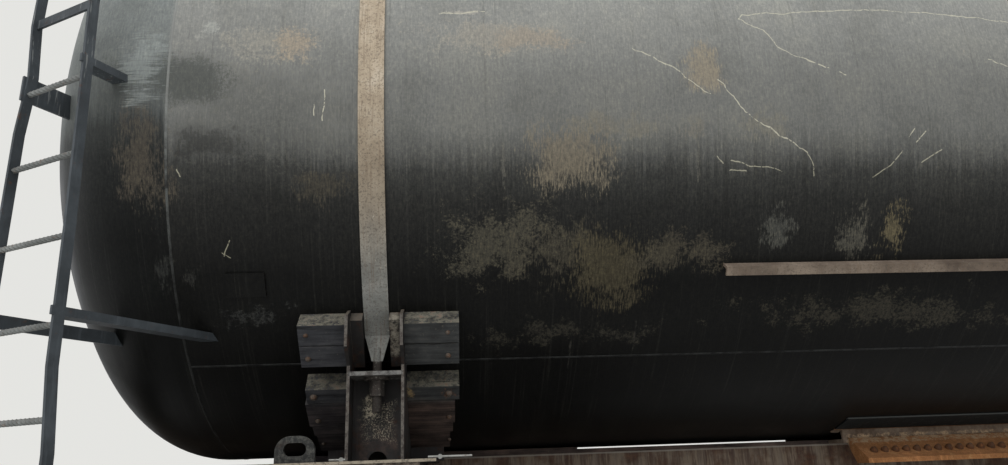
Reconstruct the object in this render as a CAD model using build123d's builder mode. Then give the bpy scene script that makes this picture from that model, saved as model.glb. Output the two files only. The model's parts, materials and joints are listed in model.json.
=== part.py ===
from build123d import *
import math
import os

# A four-axle railway tank car of the 1520 mm gauge, at full size, in millimetres.
# X runs along the car, Z is up, and Z = 0 is the tip of the wheel flanges.
# The car is the same after half a turn about Z, so most pieces are made for the
# end at -X and turned for the other end.

os.makedirs("parts", exist_ok=True)

# Running gear heights
FLANGE = 28.0                 # wheel flange below the tread
TREAD_R = 475.0
RAIL_Z = FLANGE               # height of the rail head
AXLE_Z = FLANGE + TREAD_R
WHEEL_BACK_Y = 720.0          # inner face of a wheel rim
RIM_WIDTH = 130.0
AXLE_SPACING = 1850.0
JOURNAL_R = 65.0
JOURNAL_Y = 1018.0            # middle of a journal, and of a bogie side frame
BEARING_CLEARANCE = 0.08
PIVOT_X = 3900.0              # bogie centre, tank saddle and strap

# Tank
TANK_R = 1510.0
TANK_LOW_Z = 1265.0           # lowest line of the tank
TANK_AXIS_Z = TANK_LOW_Z + TANK_R
BARREL_HALF = 4670.0          # middle of the car to the seam of a head
HEAD_STRAIGHT = 60.0          # straight flange of a head, beside the seam
HEAD_DEPTH = 790.0            # from the straight flange to the end
KNUCKLE_R = 500.0             # the tight bend round the rim of a head
HEAD_X = BARREL_HALF + HEAD_STRAIGHT
TANK_TOP = TANK_AXIS_Z + TANK_R
SEAT_GAP = 0.3                # curved seats are this far apart

# Centre sill
SILL_TOP = 1235.0
SILL_DEPTH = 310.0
SILL_IN_HALF = 175.0          # half of the width between the webs
SILL_WEB = 12.0
SILL_CAP = 14.0
SILL_FLANGE = 110.0
SILL_HALF_LENGTH = 5390.0
SILL_BOTTOM = SILL_TOP - SILL_DEPTH
SILL_OUT_HALF = SILL_IN_HALF + SILL_WEB
SILL_FOOT_HALF = SILL_OUT_HALF + SILL_FLANGE

# Body bolsters and end frames
DECK_Z = 1220.0               # top of the bolster sheets and of the end frames
BOLSTER_HALF_X = 180.0
BOLSTER_END_Y = 1400.0
BOLSTER_TIP_DEPTH = 160.0
JACKING_PAD = 120.0           # flat length under a bolster tip
PLATE = 10.0
END_FACE_X = SILL_HALF_LENGTH + PLATE
END_BEAM_HALF_Y = 1480.0
END_BEAM_TIP_DEPTH = 200.0
END_BEAM_WIDTH = 130.0
CONSOLE_Y = 1300.0
CONSOLE_DEPTH = 140.0

# Straps, saddles and timbers
STRAP_WIDTH = 100.0
STRAP_THICK = 10.0
STRAP_END_DEG = 45.0          # below the horizontal on each side
ROD_R = 18.0
BRACKET_HALF = 100.0          # inner half width of a strap bracket
GUSSET = 12.0
TIMBER_THICK = 92.0
TIMBER_TO_MIDDLE = 330.0      # reach of the timbers from the pivot towards mid-length
TIMBER_TO_END = 300.0         # and towards the end of the car
SADDLE_HALF_X = 260.0

# Centre plate and side bearers
BOWL_FLOOR_Z = RAIL_Z + 806.0
CENTRE_PLATE_R = 150.0
BOWL_CLEARANCE = 1.5
SIDE_BEARER_Y = 762.0
SIDE_BEARER_GAP = 14.0

# Couplers
COUPLER_Z = RAIL_Z + 1060.0
COUPLING_X = 6010.0           # the coupling plane
COUPLER_PIN_X = COUPLING_X - 895.0

# Manhole
NECK_R = 285.0
NECK_WALL = 12.0
NECK_TOP = TANK_TOP + 190.0
LID_GAP = 5.0


def save(builder, name):
    """Label a finished sub-part and write its file."""
    builder.part.label = name
    export_step(builder.part, "parts/" + name + ".step")


def turned(part):
    """The same piece at the other end of the car."""
    return part.rotate(Axis.Z, 180)


def polar(radius, degrees):
    """A point of the cross-section, below the horizontal on the -Y side."""
    a = math.radians(degrees)
    return (-radius * math.cos(a), TANK_AXIS_Z - radius * math.sin(a))


# The tank: a plain barrel and two domed heads, butted at the seams.
with BuildPart() as tank_barrel:
    with BuildSketch(Plane.YZ.offset(-BARREL_HALF)):
        with Locations((0, TANK_AXIS_Z)):
            Circle(TANK_R)
    extrude(amount=2 * BARREL_HALF)
save(tank_barrel, "tank_barrel")

# The crown's radius follows from the depth and the knuckle, so that the two arcs
# of a head meet without a kink.
RIM_TO_KNUCKLE = TANK_R - KNUCKLE_R
CROWN_R = (HEAD_DEPTH ** 2 + RIM_TO_KNUCKLE ** 2 - KNUCKLE_R ** 2) / (2 * (HEAD_DEPTH - KNUCKLE_R))
KNUCKLE_DEG = math.degrees(math.atan2(RIM_TO_KNUCKLE, CROWN_R - HEAD_DEPTH))


def head_form(start_x, gap):
    """The body of a head at +X from start_x on, grown all round by a gap."""
    top = TANK_TOP + gap
    with BuildPart() as form:
        with BuildSketch(Plane.XZ):
            with BuildLine():
                Line((HEAD_X + HEAD_DEPTH + gap, TANK_AXIS_Z), (start_x, TANK_AXIS_Z))
                Line((start_x, TANK_AXIS_Z), (start_x, top))
                Line((start_x, top), (HEAD_X, top))
                CenterArc((HEAD_X, TANK_TOP - KNUCKLE_R), KNUCKLE_R + gap, KNUCKLE_DEG, 90 - KNUCKLE_DEG)
                CenterArc((HEAD_X + HEAD_DEPTH - CROWN_R, TANK_AXIS_Z), CROWN_R + gap, 0, KNUCKLE_DEG)
            make_face()
        revolve(axis=Axis((0, 0, TANK_AXIS_Z), (1, 0, 0)))
    return form.part


with BuildPart() as tank_heads:
    add(head_form(BARREL_HALF, 0))
    mirror(about=Plane.YZ)
save(tank_heads, "tank_heads")

# Manhole neck with its rim and the hinge ears, cut to the barrel below it.
HINGE_Y = NECK_R + 95.0
HINGE_Z = NECK_TOP + 45.0
HINGE_PIN_R = 12.0
EAR_X = 60.0
EAR_THICK = 14.0
with BuildPart() as manhole_neck:
    with BuildSketch(Plane.XY.offset(TANK_TOP - 40)):
        Circle(NECK_R + NECK_WALL)
    extrude(amount=NECK_TOP - TANK_TOP + 40)
    with BuildSketch(Plane.XY.offset(NECK_TOP - 25)):
        Circle(NECK_R + 50)
    extrude(amount=25)
    with BuildSketch(Plane.YZ.offset(EAR_X)):
        with BuildLine():
            Polyline((NECK_R + 20, NECK_TOP - 25), (NECK_R + 50, NECK_TOP),
                     (HINGE_Y - 25, HINGE_Z + 18), (HINGE_Y + 22, HINGE_Z + 18),
                     (HINGE_Y + 22, HINGE_Z - 30), (NECK_R + 50, NECK_TOP - 25),
                     close=True)
        make_face()
        with Locations((HINGE_Y, HINGE_Z)):
            Circle(HINGE_PIN_R + 0.05, mode=Mode.SUBTRACT)
    extrude(amount=EAR_THICK)
    mirror(about=Plane.YZ)
    with BuildSketch(Plane.XY.offset(TANK_TOP - 60)):
        Circle(NECK_R)
    extrude(amount=NECK_TOP - TANK_TOP + 120, mode=Mode.SUBTRACT)
    with BuildSketch(Plane.YZ.offset(-600)):
        with Locations((0, TANK_AXIS_Z)):
            Circle(TANK_R)
    extrude(amount=1200, mode=Mode.SUBTRACT)
save(manhole_neck, "manhole_neck")

# Manhole lid: domed disc, clamp bar with its screw, and the hinge barrel.
with BuildPart() as manhole_lid:
    with BuildSketch(Plane.XZ):
        with BuildLine():
            Line((0, NECK_TOP + 20), (0, NECK_TOP + 80))
            ThreePointArc((0, NECK_TOP + 80), (160, NECK_TOP + 63), (NECK_R, NECK_TOP + 26))
            Line((NECK_R, NECK_TOP + 26), (NECK_R + 42, NECK_TOP + 26))
            Line((NECK_R + 42, NECK_TOP + 26), (NECK_R + 42, NECK_TOP + SEAT_GAP))
            Line((NECK_R + 42, NECK_TOP + SEAT_GAP), (NECK_R - 8, NECK_TOP + SEAT_GAP))
            Line((NECK_R - 8, NECK_TOP + SEAT_GAP), (NECK_R - 8, NECK_TOP + 20))
            Line((NECK_R - 8, NECK_TOP + 20), (0, NECK_TOP + 20))
        make_face()
    revolve(axis=Axis.Z)
    with BuildSketch(Plane.YZ.offset(-30)):
        with BuildLine():
            Polyline((-NECK_R - 70, NECK_TOP + 88), (-NECK_R - 70, NECK_TOP + 118),
                     (-70, NECK_TOP + 140), (70, NECK_TOP + 140),
                     (HINGE_Y - 60, NECK_TOP + 118), (HINGE_Y + 20, HINGE_Z + 20),
                     (HINGE_Y + 20, HINGE_Z - 16), (HINGE_Y - 22, HINGE_Z - 16),
                     (HINGE_Y - 70, NECK_TOP + 82), (-60, NECK_TOP + 96),
                     close=True)
        make_face()
    extrude(amount=60)
    with BuildSketch(Plane.XY.offset(NECK_TOP + 70)):
        Circle(20)
    extrude(amount=125)
    with BuildSketch(Plane.XZ.offset(-110)):
        with Locations((0, NECK_TOP + 190)):
            Circle(9)
    extrude(amount=220)
    with BuildSketch(Plane.YZ.offset(-EAR_X + LID_GAP)):
        with Locations((HINGE_Y, HINGE_Z)):
            Circle(26)
    extrude(amount=2 * (EAR_X - LID_GAP))
    with BuildSketch(Plane.YZ.offset(-EAR_X - EAR_THICK - 8)):
        with Locations((HINGE_Y, HINGE_Z)):
            Circle(HINGE_PIN_R)
    extrude(amount=2 * (EAR_X + EAR_THICK + 8))
save(manhole_lid, "manhole_lid")

# Two relief valves beside the manhole: flanged stub, bonnet and cap.
VALVE_X = 820.0
with BuildPart() as relief_valves:
    with BuildSketch(Plane.XZ):
        with BuildLine():
            Polyline((VALVE_X, TANK_TOP - 10), (VALVE_X + 78, TANK_TOP - 10),
                     (VALVE_X + 78, TANK_TOP + 45), (VALVE_X + 118, TANK_TOP + 45),
                     (VALVE_X + 118, TANK_TOP + 85), (VALVE_X + 72, TANK_TOP + 85),
                     (VALVE_X + 60, TANK_TOP + 190), (VALVE_X + 86, TANK_TOP + 190),
                     (VALVE_X + 86, TANK_TOP + 215), (VALVE_X, TANK_TOP + 240),
                     close=True)
        make_face()
    revolve(axis=Axis((VALVE_X, 0, 0), (0, 0, 1)))
    mirror(about=Plane.YZ)
    with BuildSketch(Plane.YZ.offset(-2000)):
        with Locations((0, TANK_AXIS_Z)):
            Circle(TANK_R)
    extrude(amount=4000, mode=Mode.SUBTRACT)
save(relief_valves, "relief_valves")

# Walkway on top of the tank: two side boards past the manhole and the relief
# valves, and a running board from them to the ladder at each end.
WALK_Z = TANK_TOP + 60.0
BOARD = 30.0
WALK_END_X = 4950.0
PLATFORM_X = 1150.0
PLATFORM_IN = 420.0
PLATFORM_OUT = 820.0
RUN_HALF = 260.0
RUN_BEARER_X = (1250.0, 2160.0, 3070.0, 3980.0, 4600.0)
PLATFORM_BEARER_X = (140.0, 620.0, 1080.0)
POST_R = 18.0
RAIL_R = 15.0
RAIL_END = 60.0
RAIL_HEIGHT = 850.0


def bearer(x, y_in, y_out):
    """A cross-plate that stands on the tank and carries the boards."""
    z = WALK_Z - BOARD
    with BuildPart() as plate:
        with BuildSketch(Plane.YZ.offset(x)):
            with BuildLine():
                Polyline((y_in, z), (y_in, TANK_TOP - 420), (y_out - 50, TANK_TOP - 420),
                         (y_out - 50, z - 50), (y_out, z - 50), (y_out, z), close=True)
            make_face()
            with Locations((0, TANK_AXIS_Z)):
                Circle(TANK_R + SEAT_GAP, mode=Mode.SUBTRACT)
        extrude(amount=PLATE)
    return plate.part


with BuildPart() as walkway_frame:
    for x in RUN_BEARER_X:
        add(bearer(x, 0, RUN_HALF))
    for x in PLATFORM_BEARER_X:
        add(bearer(x, PLATFORM_IN, PLATFORM_OUT))
    mirror(about=Plane.XZ)
    mirror(about=Plane.YZ)
save(walkway_frame, "walkway_frame")

with BuildPart() as walkway_boards:
    with BuildSketch(Plane.XY.offset(WALK_Z - BOARD)):
        with BuildLine():
            Polyline((PLATFORM_X + 20, -RUN_HALF), (WALK_END_X, -RUN_HALF),
                     (WALK_END_X, RUN_HALF), (PLATFORM_X + 20, RUN_HALF), close=True)
        make_face()
        with Locations((0, (PLATFORM_IN + PLATFORM_OUT) / 2)):
            Rectangle(2 * PLATFORM_X, PLATFORM_OUT - PLATFORM_IN)
        mirror(about=Plane.XZ)
        mirror(about=Plane.YZ)
    extrude(amount=BOARD)
save(walkway_boards, "walkway_boards")

# Handrails: posts with one top rail, along both sides of the running boards and
# along the outer edges of the platform.
RUN_POST_X = (1280.0, 2190.0, 3100.0, 4010.0, 4880.0)
PLATFORM_POST_X = (-1080.0, 0.0, 1080.0)
with BuildPart() as handrails:
    for xs, y in ((RUN_POST_X, RUN_HALF + POST_R), (PLATFORM_POST_X, PLATFORM_OUT + POST_R)):
        with BuildSketch(Plane.XY.offset(WALK_Z - BOARD)):
            with Locations(*[(x, y) for x in xs]):
                Circle(POST_R)
        extrude(amount=RAIL_HEIGHT)
        with BuildSketch(Plane.YZ.offset(xs[0] - RAIL_END)):
            with Locations((y, WALK_Z - BOARD + RAIL_HEIGHT)):
                Circle(RAIL_R)
        extrude(amount=xs[-1] - xs[0] + 2 * RAIL_END)
    mirror(about=Plane.XZ)
    mirror(about=Plane.YZ)
save(handrails, "handrails")

# Straps over the tank at each saddle, with a tapered tongue and a threaded rod.
ROD_Y = (TANK_R + 8) * math.cos(math.radians(STRAP_END_DEG))
TONGUE_TOP = TANK_AXIS_Z - (TANK_R + 8) * math.sin(math.radians(STRAP_END_DEG))
TONGUE_END = TONGUE_TOP - 95.0
SHELF_Z = TANK_AXIS_Z - 1232.0
SHELF_THICK = 16.0
ROD_END = SHELF_Z - 137.0
WASHER_R = 50.0
WASHER_THICK = 13.0
NUT_HALF = 30.0
NUT_HEIGHT = 62.0


def strap(x):
    """One band with its two ends."""
    with BuildPart() as band:
        with BuildSketch(Plane.YZ.offset(x - STRAP_WIDTH / 2)):
            with Locations((0, TANK_AXIS_Z)):
                Circle(TANK_R + SEAT_GAP + STRAP_THICK)
                Circle(TANK_R + SEAT_GAP, mode=Mode.SUBTRACT)
            with BuildLine():
                Polyline((0, TANK_AXIS_Z), polar(2.2 * TANK_R, STRAP_END_DEG),
                         (0, TANK_AXIS_Z - 3 * TANK_R),
                         (-polar(2.2 * TANK_R, STRAP_END_DEG)[0],
                          polar(2.2 * TANK_R, STRAP_END_DEG)[1]), close=True)
            make_face(mode=Mode.SUBTRACT)
        extrude(amount=STRAP_WIDTH)
        with BuildSketch(Plane.XZ.offset(ROD_Y - 2)):
            with BuildLine():
                Polyline((x - STRAP_WIDTH / 2, TONGUE_TOP + 8),
                         (x - ROD_R - 4, TONGUE_END), (x + ROD_R + 4, TONGUE_END),
                         (x + STRAP_WIDTH / 2, TONGUE_TOP + 8), close=True)
            make_face()
        extrude(amount=14)
        with BuildSketch(Plane.XY.offset(ROD_END)):
            with Locations((x, -ROD_Y - 1)):
                Circle(ROD_R)
        extrude(amount=TONGUE_END + 45 - ROD_END)
        with BuildSketch(Plane.XY.offset(SHELF_Z - WASHER_THICK)):
            with Locations((x, -ROD_Y - 1)):
                Circle(WASHER_R)
        extrude(amount=WASHER_THICK)
        with BuildSketch(Plane.XY.offset(SHELF_Z - WASHER_THICK - NUT_HEIGHT)):
            with Locations((x, -ROD_Y - 1)):
                RegularPolygon(NUT_HALF, 6)
        extrude(amount=NUT_HEIGHT)
        mirror(about=Plane.XZ)
    return band.part


with BuildPart() as tank_straps:
    add(strap(-PIVOT_X))
    mirror(about=Plane.YZ)
save(tank_straps, "tank_straps")

# Saddle timbers: rows of bars that lie along the tank between two angles, stacked
# from the pedestal upwards on each side of the strap bracket.
# columns: upper angle, lower angle, how much the row falls short of the reach
# towards mid-length, and towards the end
TIMBERS = (
    (40.6, 43.9, 0, 0),
    (44.1, 47.7, 0, 0),
    (52.2, 55.1, 0, 0),
    (55.3, 60.9, 18, -10),
    (61.1, 63.6, 27, 0),
    (63.8, 69.0, 41, 10),
)
TIMBER_R = TANK_R + SEAT_GAP + TIMBER_THICK
TIMBER_START = BRACKET_HALF + GUSSET + 1.0
SADDLE_LOW_DEG = 69.0


def wedge(r_in, r_out, deg_up, deg_low):
    """The corner points of a block of the cross-section between two angles."""
    return [polar(r_in, deg_up), polar(r_out, deg_up), polar(r_out, deg_low),
            polar(r_in, deg_low)]


with BuildPart() as saddle_timbers:
    for deg_up, deg_low, short_middle, short_end in TIMBERS:
        to_middle = TIMBER_TO_MIDDLE - short_middle - TIMBER_START
        to_end = TIMBER_TO_END - short_end - TIMBER_START
        for start, length in ((TIMBER_START, to_middle), (-TIMBER_START - to_end, to_end)):
            with BuildSketch(Plane.YZ.offset(-PIVOT_X + start)):
                with BuildLine():
                    Polyline(*wedge(TANK_R - 15, TIMBER_R, deg_up, deg_low), close=True)
                make_face()
                with Locations((0, TANK_AXIS_Z)):
                    Circle(TANK_R + SEAT_GAP, mode=Mode.SUBTRACT)
            extrude(amount=length)
    mirror(about=Plane.XZ)
    mirror(about=Plane.YZ)
save(saddle_timbers, "saddle_timbers")

# Tank saddles on the bolsters: a pedestal below the timbers, and the strap bracket
# of two gussets, a face plate with a drain notch, the shelf for the rod and a short
# cheek on each side of the strap. The gussets step out above the shelf.
BRACKET_FRONT = 76.0          # the lower gussets in front of the rods
BRACKET_STEP = 180.0          # and the upper ones, flush with the timbers
GUSSET_TOP_Z = DECK_Z + 545.0
CHEEK_GAP = 3.0
CHEEK_THICK = 60.0
CHEEK_LOW_DEG = 49.0
DRAIN_R = 38.0
with BuildPart() as tank_saddles:
    with BuildSketch(Plane.YZ.offset(-PIVOT_X - SADDLE_HALF_X)):
        with BuildLine():
            Polyline(polar(TIMBER_R, SADDLE_LOW_DEG), (polar(TIMBER_R, SADDLE_LOW_DEG)[0], DECK_Z),
                     (-SILL_FOOT_HALF, DECK_Z), (-SILL_FOOT_HALF, TANK_LOW_Z),
                     polar(TANK_R - 30, SADDLE_LOW_DEG), close=True)
        make_face()
        with Locations((0, TANK_AXIS_Z)):
            Circle(TANK_R + SEAT_GAP, mode=Mode.SUBTRACT)
    extrude(amount=2 * SADDLE_HALF_X)
    for side in (-1, 1):
        with BuildSketch(Plane.YZ.offset(-PIVOT_X + side * BRACKET_HALF - (GUSSET if side < 0 else 0))):
            with BuildLine():
                Polyline((-ROD_Y - BRACKET_FRONT, DECK_Z), (-ROD_Y - BRACKET_FRONT, SHELF_Z + 40),
                         (-ROD_Y - BRACKET_STEP, SHELF_Z + 100), (-ROD_Y - BRACKET_STEP, GUSSET_TOP_Z),
                         polar(TANK_R - 10, TIMBERS[0][0] - 0.4), polar(TANK_R - 10, SADDLE_LOW_DEG - 2),
                         (-640, DECK_Z), close=True)
            make_face()
            with Locations((0, TANK_AXIS_Z)):
                Circle(TANK_R + SEAT_GAP + 6, mode=Mode.SUBTRACT)
        extrude(amount=GUSSET)
    with BuildSketch(Plane.XZ.offset(ROD_Y - 70)):
        with Locations((-PIVOT_X, (DECK_Z + SHELF_Z) / 2)):
            Rectangle(2 * BRACKET_HALF, SHELF_Z - DECK_Z)
        with Locations((-PIVOT_X, DECK_Z)):
            Circle(DRAIN_R, mode=Mode.SUBTRACT)
    extrude(amount=PLATE)
    with BuildSketch(Plane.XY.offset(SHELF_Z)):
        with BuildLine():
            Polyline((-PIVOT_X - BRACKET_HALF, -ROD_Y - BRACKET_FRONT - 6),
                     (-PIVOT_X + BRACKET_HALF, -ROD_Y - BRACKET_FRONT - 6),
                     (-PIVOT_X + BRACKET_HALF, -ROD_Y + 70), (-PIVOT_X - BRACKET_HALF, -ROD_Y + 70),
                     close=True)
        make_face()
        with Locations((-PIVOT_X, -ROD_Y - 1)):
            Circle(ROD_R + 2, mode=Mode.SUBTRACT)
    extrude(amount=SHELF_THICK)
    for start in (-BRACKET_HALF, STRAP_WIDTH / 2 + CHEEK_GAP):
        with BuildSketch(Plane.YZ.offset(-PIVOT_X + start)):
            with BuildLine():
                Polyline(*wedge(TANK_R - 15, TANK_R + CHEEK_THICK, TIMBERS[0][0], CHEEK_LOW_DEG),
                         close=True)
            make_face()
            with Locations((0, TANK_AXIS_Z)):
                Circle(TANK_R + SEAT_GAP, mode=Mode.SUBTRACT)
        extrude(amount=BRACKET_HALF - STRAP_WIDTH / 2 - CHEEK_GAP)
    mirror(about=Plane.XZ)
    mirror(about=Plane.YZ)
save(tank_saddles, "tank_saddles")

# Centre sill: two Z-bars closed on top, with the hole for the bottom outlet.
OUTLET_R = 110.0
with BuildPart() as centre_sill:
    with BuildSketch(Plane.YZ.offset(-SILL_HALF_LENGTH)):
        with BuildLine():
            Polyline((0, SILL_TOP), (SILL_OUT_HALF, SILL_TOP), (SILL_OUT_HALF, SILL_BOTTOM + 14),
                     (SILL_FOOT_HALF, SILL_BOTTOM + 14), (SILL_FOOT_HALF, SILL_BOTTOM),
                     (SILL_IN_HALF, SILL_BOTTOM), (SILL_IN_HALF, SILL_TOP - SILL_CAP),
                     (0, SILL_TOP - SILL_CAP), close=True)
        make_face()
        mirror(about=Plane.YZ)
    extrude(amount=2 * SILL_HALF_LENGTH)
    with BuildSketch(Plane.XY.offset(SILL_TOP - 40)):
        Circle(OUTLET_R + 25)
    extrude(amount=60, mode=Mode.SUBTRACT)
save(centre_sill, "centre_sill")


# Body bolsters: tapered box arms from the sill, a wider top sheet with the lug,
# and the upper side bearers.
ARM_TOP = DECK_Z - PLATE
LUG_X = 259.0
LUG_WIDTH = 140.0
LUG_HEIGHT = 93.0
LUG_ROUND = 54.0
LUG_THICK = 22.0
SHEET_FRONT = 238.0
SHEET_BACK = 450.0
SIDE_BEARER_TOP = RAIL_Z + 800.0
with BuildPart() as body_bolsters:
    with BuildSketch(Plane.YZ.offset(-PIVOT_X - BOLSTER_HALF_X)):
        with BuildLine():
            Polyline((-SILL_OUT_HALF, ARM_TOP), (-BOLSTER_END_Y, ARM_TOP),
                     (-BOLSTER_END_Y, ARM_TOP - BOLSTER_TIP_DEPTH),
                     (-BOLSTER_END_Y + JACKING_PAD, ARM_TOP - BOLSTER_TIP_DEPTH),
                     (-SILL_FOOT_HALF - 60, SILL_BOTTOM + 14), (-SILL_OUT_HALF, SILL_BOTTOM + 14),
                     close=True)
        make_face()
    extrude(amount=2 * BOLSTER_HALF_X)
    with BuildSketch(Plane.XY.offset(ARM_TOP)):
        with BuildLine():
            Polyline((-PIVOT_X - SHEET_BACK, -BOLSTER_END_Y - 20),
                     (-PIVOT_X + SHEET_FRONT, -BOLSTER_END_Y - 20),
                     (-PIVOT_X + SHEET_FRONT, -SILL_OUT_HALF),
                     (-PIVOT_X - SHEET_BACK, -SILL_OUT_HALF), close=True)
        make_face()
    extrude(amount=PLATE)
    with BuildSketch(Plane.XZ.offset(BOLSTER_END_Y - 60)) as lug_face:
        with Locations((-PIVOT_X - LUG_X, DECK_Z + LUG_HEIGHT / 2)):
            Rectangle(LUG_WIDTH, LUG_HEIGHT)
        fillet(lug_face.vertices().group_by(Axis.Y)[-1], radius=LUG_ROUND)
        with Locations((-PIVOT_X - LUG_X, DECK_Z + LUG_HEIGHT / 2)):
            SlotOverall(LUG_WIDTH - 60, LUG_HEIGHT - 48, mode=Mode.SUBTRACT)
    extrude(amount=LUG_THICK)
    with BuildSketch(Plane.XY.offset(SIDE_BEARER_TOP + SIDE_BEARER_GAP)):
        with Locations((-PIVOT_X, -SIDE_BEARER_Y)):
            Rectangle(230, 130)
    extrude(amount=200)
    mirror(about=Plane.XZ)
    mirror(about=Plane.YZ)
save(body_bolsters, "body_bolsters")

# Centre plates below the sill: a square foot and the round plate in the bowl.
with BuildPart() as centre_plates:
    with BuildSketch(Plane.XY.offset(BOWL_FLOOR_Z)):
        with Locations((-PIVOT_X, 0)):
            Circle(CENTRE_PLATE_R)
    extrude(amount=60)
    with BuildSketch(Plane.XY.offset(SILL_BOTTOM - 50)):
        with Locations((-PIVOT_X, 0)):
            RectangleRounded(470, 470, 40)
    extrude(amount=50)
    mirror(about=Plane.YZ)
save(centre_plates, "centre_plates")

# End frames: a tapered face plate with top and bottom flanges across the car, and
# a channel on each side from it to the bolster sheet.
STRIKER_HALF_Y = 165.0
STRIKER_BOTTOM = COUPLER_Z - 150.0
STRIKER_TOP = COUPLER_Z + 105.0
with BuildPart() as end_frames:
    with BuildSketch(Plane.YZ.offset(-END_FACE_X)):
        with BuildLine():
            Polyline((0, DECK_Z + 15), (-END_BEAM_HALF_Y, DECK_Z + 15),
                     (-END_BEAM_HALF_Y, DECK_Z - END_BEAM_TIP_DEPTH),
                     (-600, SILL_BOTTOM), (0, SILL_BOTTOM), close=True)
        make_face()
        with Locations((0, (STRIKER_BOTTOM + STRIKER_TOP) / 2)):
            Rectangle(2 * STRIKER_HALF_Y, STRIKER_TOP - STRIKER_BOTTOM, mode=Mode.SUBTRACT)
        with Locations((0, STRIKER_BOTTOM - 60)):
            Rectangle(2 * STRIKER_HALF_Y, 200, mode=Mode.SUBTRACT)
        mirror(about=Plane.YZ)
    extrude(amount=PLATE)
    with BuildSketch(Plane.YZ.offset(-SILL_HALF_LENGTH)):
        with BuildLine():
            Polyline((-SILL_OUT_HALF, DECK_Z), (-END_BEAM_HALF_Y, DECK_Z),
                     (-END_BEAM_HALF_Y, DECK_Z - PLATE), (-SILL_OUT_HALF, DECK_Z - PLATE),
                     close=True)
        make_face()
        with BuildLine():
            Polyline((-SILL_FOOT_HALF, SILL_BOTTOM), (-600, SILL_BOTTOM),
                     (-END_BEAM_HALF_Y, DECK_Z - END_BEAM_TIP_DEPTH),
                     (-END_BEAM_HALF_Y, DECK_Z - END_BEAM_TIP_DEPTH + PLATE),
                     (-600, SILL_BOTTOM + PLATE), (-SILL_FOOT_HALF, SILL_BOTTOM + PLATE),
                     close=True)
        make_face()
        mirror(about=Plane.YZ)
    extrude(amount=END_BEAM_WIDTH)
    with BuildSketch(Plane.YZ.offset(-SILL_HALF_LENGTH)):
        with BuildLine():
            Polyline((-CONSOLE_Y, DECK_Z - PLATE), (-CONSOLE_Y - 60, DECK_Z - PLATE),
                     (-CONSOLE_Y - 60, DECK_Z - CONSOLE_DEPTH),
                     (-CONSOLE_Y, DECK_Z - CONSOLE_DEPTH),
                     (-CONSOLE_Y, DECK_Z - CONSOLE_DEPTH + 9),
                     (-CONSOLE_Y - 51, DECK_Z - CONSOLE_DEPTH + 9),
                     (-CONSOLE_Y - 51, DECK_Z - PLATE - 9), (-CONSOLE_Y, DECK_Z - PLATE - 9),
                     close=True)
        make_face()
        mirror(about=Plane.YZ)
    extrude(amount=SILL_HALF_LENGTH - PIVOT_X - BOLSTER_HALF_X)
    mirror(about=Plane.YZ)
save(end_frames, "end_frames")

# Strikers: the cast frame round the coupler shank, with the centring beam below it.
SHANK_W = 130.0
SHANK_H = 170.0
with BuildPart() as strikers:
    with BuildSketch(Plane.YZ.offset(-END_FACE_X - 90)):
        with Locations((0, (STRIKER_BOTTOM + STRIKER_TOP) / 2 + 10)):
            RectangleRounded(2 * STRIKER_HALF_Y + 90, STRIKER_TOP - STRIKER_BOTTOM + 110, 30)
        with Locations((0, COUPLER_Z)):
            Rectangle(2 * STRIKER_HALF_Y - 30, SHANK_H + 24, mode=Mode.SUBTRACT)
    extrude(amount=90)
    with BuildSketch(Plane.YZ.offset(-END_FACE_X - 75)):
        with Locations((0, COUPLER_Z - SHANK_H / 2 - 30 - SEAT_GAP)):
            Rectangle(2 * STRIKER_HALF_Y - 30, 60)
    extrude(amount=60)
    mirror(about=Plane.YZ)
save(strikers, "strikers")

# Draft gears between the webs: yoke straps above and below the coupler tail, and
# the absorber block behind it on its support plate.
GEAR_FRONT_X = COUPLER_PIN_X - 70.0
GEAR_LENGTH = 620.0
with BuildPart() as draft_gears:
    with BuildSketch(Plane.XZ.offset(-80)):
        with BuildLine():
            Polyline((-GEAR_FRONT_X, COUPLER_Z - 115), (-GEAR_FRONT_X, COUPLER_Z + 115),
                     (-GEAR_FRONT_X + GEAR_LENGTH, COUPLER_Z + 115),
                     (-GEAR_FRONT_X + GEAR_LENGTH, COUPLER_Z - 115), close=True)
        make_face()
        with Locations((-COUPLER_PIN_X, COUPLER_Z + SHANK_H / 2 + 20),
                       (-COUPLER_PIN_X, COUPLER_Z - SHANK_H / 2 - 20)):
            Rectangle(200, 28)
    extrude(amount=160)
    with BuildSketch(Plane.XY.offset(COUPLER_Z - 115)):
        with Locations((-GEAR_FRONT_X + GEAR_LENGTH / 2, 0)):
            Rectangle(GEAR_LENGTH - 120, 2 * SILL_IN_HALF - 40)
    extrude(amount=230)
    with BuildSketch(Plane.XY.offset(SILL_BOTTOM - 16)):
        with Locations((-GEAR_FRONT_X + GEAR_LENGTH / 2, 0)):
            Rectangle(330, 2 * SILL_FOOT_HALF)
    extrude(amount=16)
    with BuildSketch(Plane.XY.offset(SILL_BOTTOM - 8)):
        with Locations((-GEAR_FRONT_X + GEAR_LENGTH / 2, 0)):
            Rectangle(300, 2 * SILL_IN_HALF - 40)
    extrude(amount=COUPLER_Z - 115 - SILL_BOTTOM + 8)
    mirror(about=Plane.YZ)
save(draft_gears, "draft_gears")


# Couplers: the shank with its tail, and a head whose big and small jaws leave the
# throat open; the lock lies in the throat. Drawn for the end at +X in plan.
JAW_ROUND = 16.0


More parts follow.
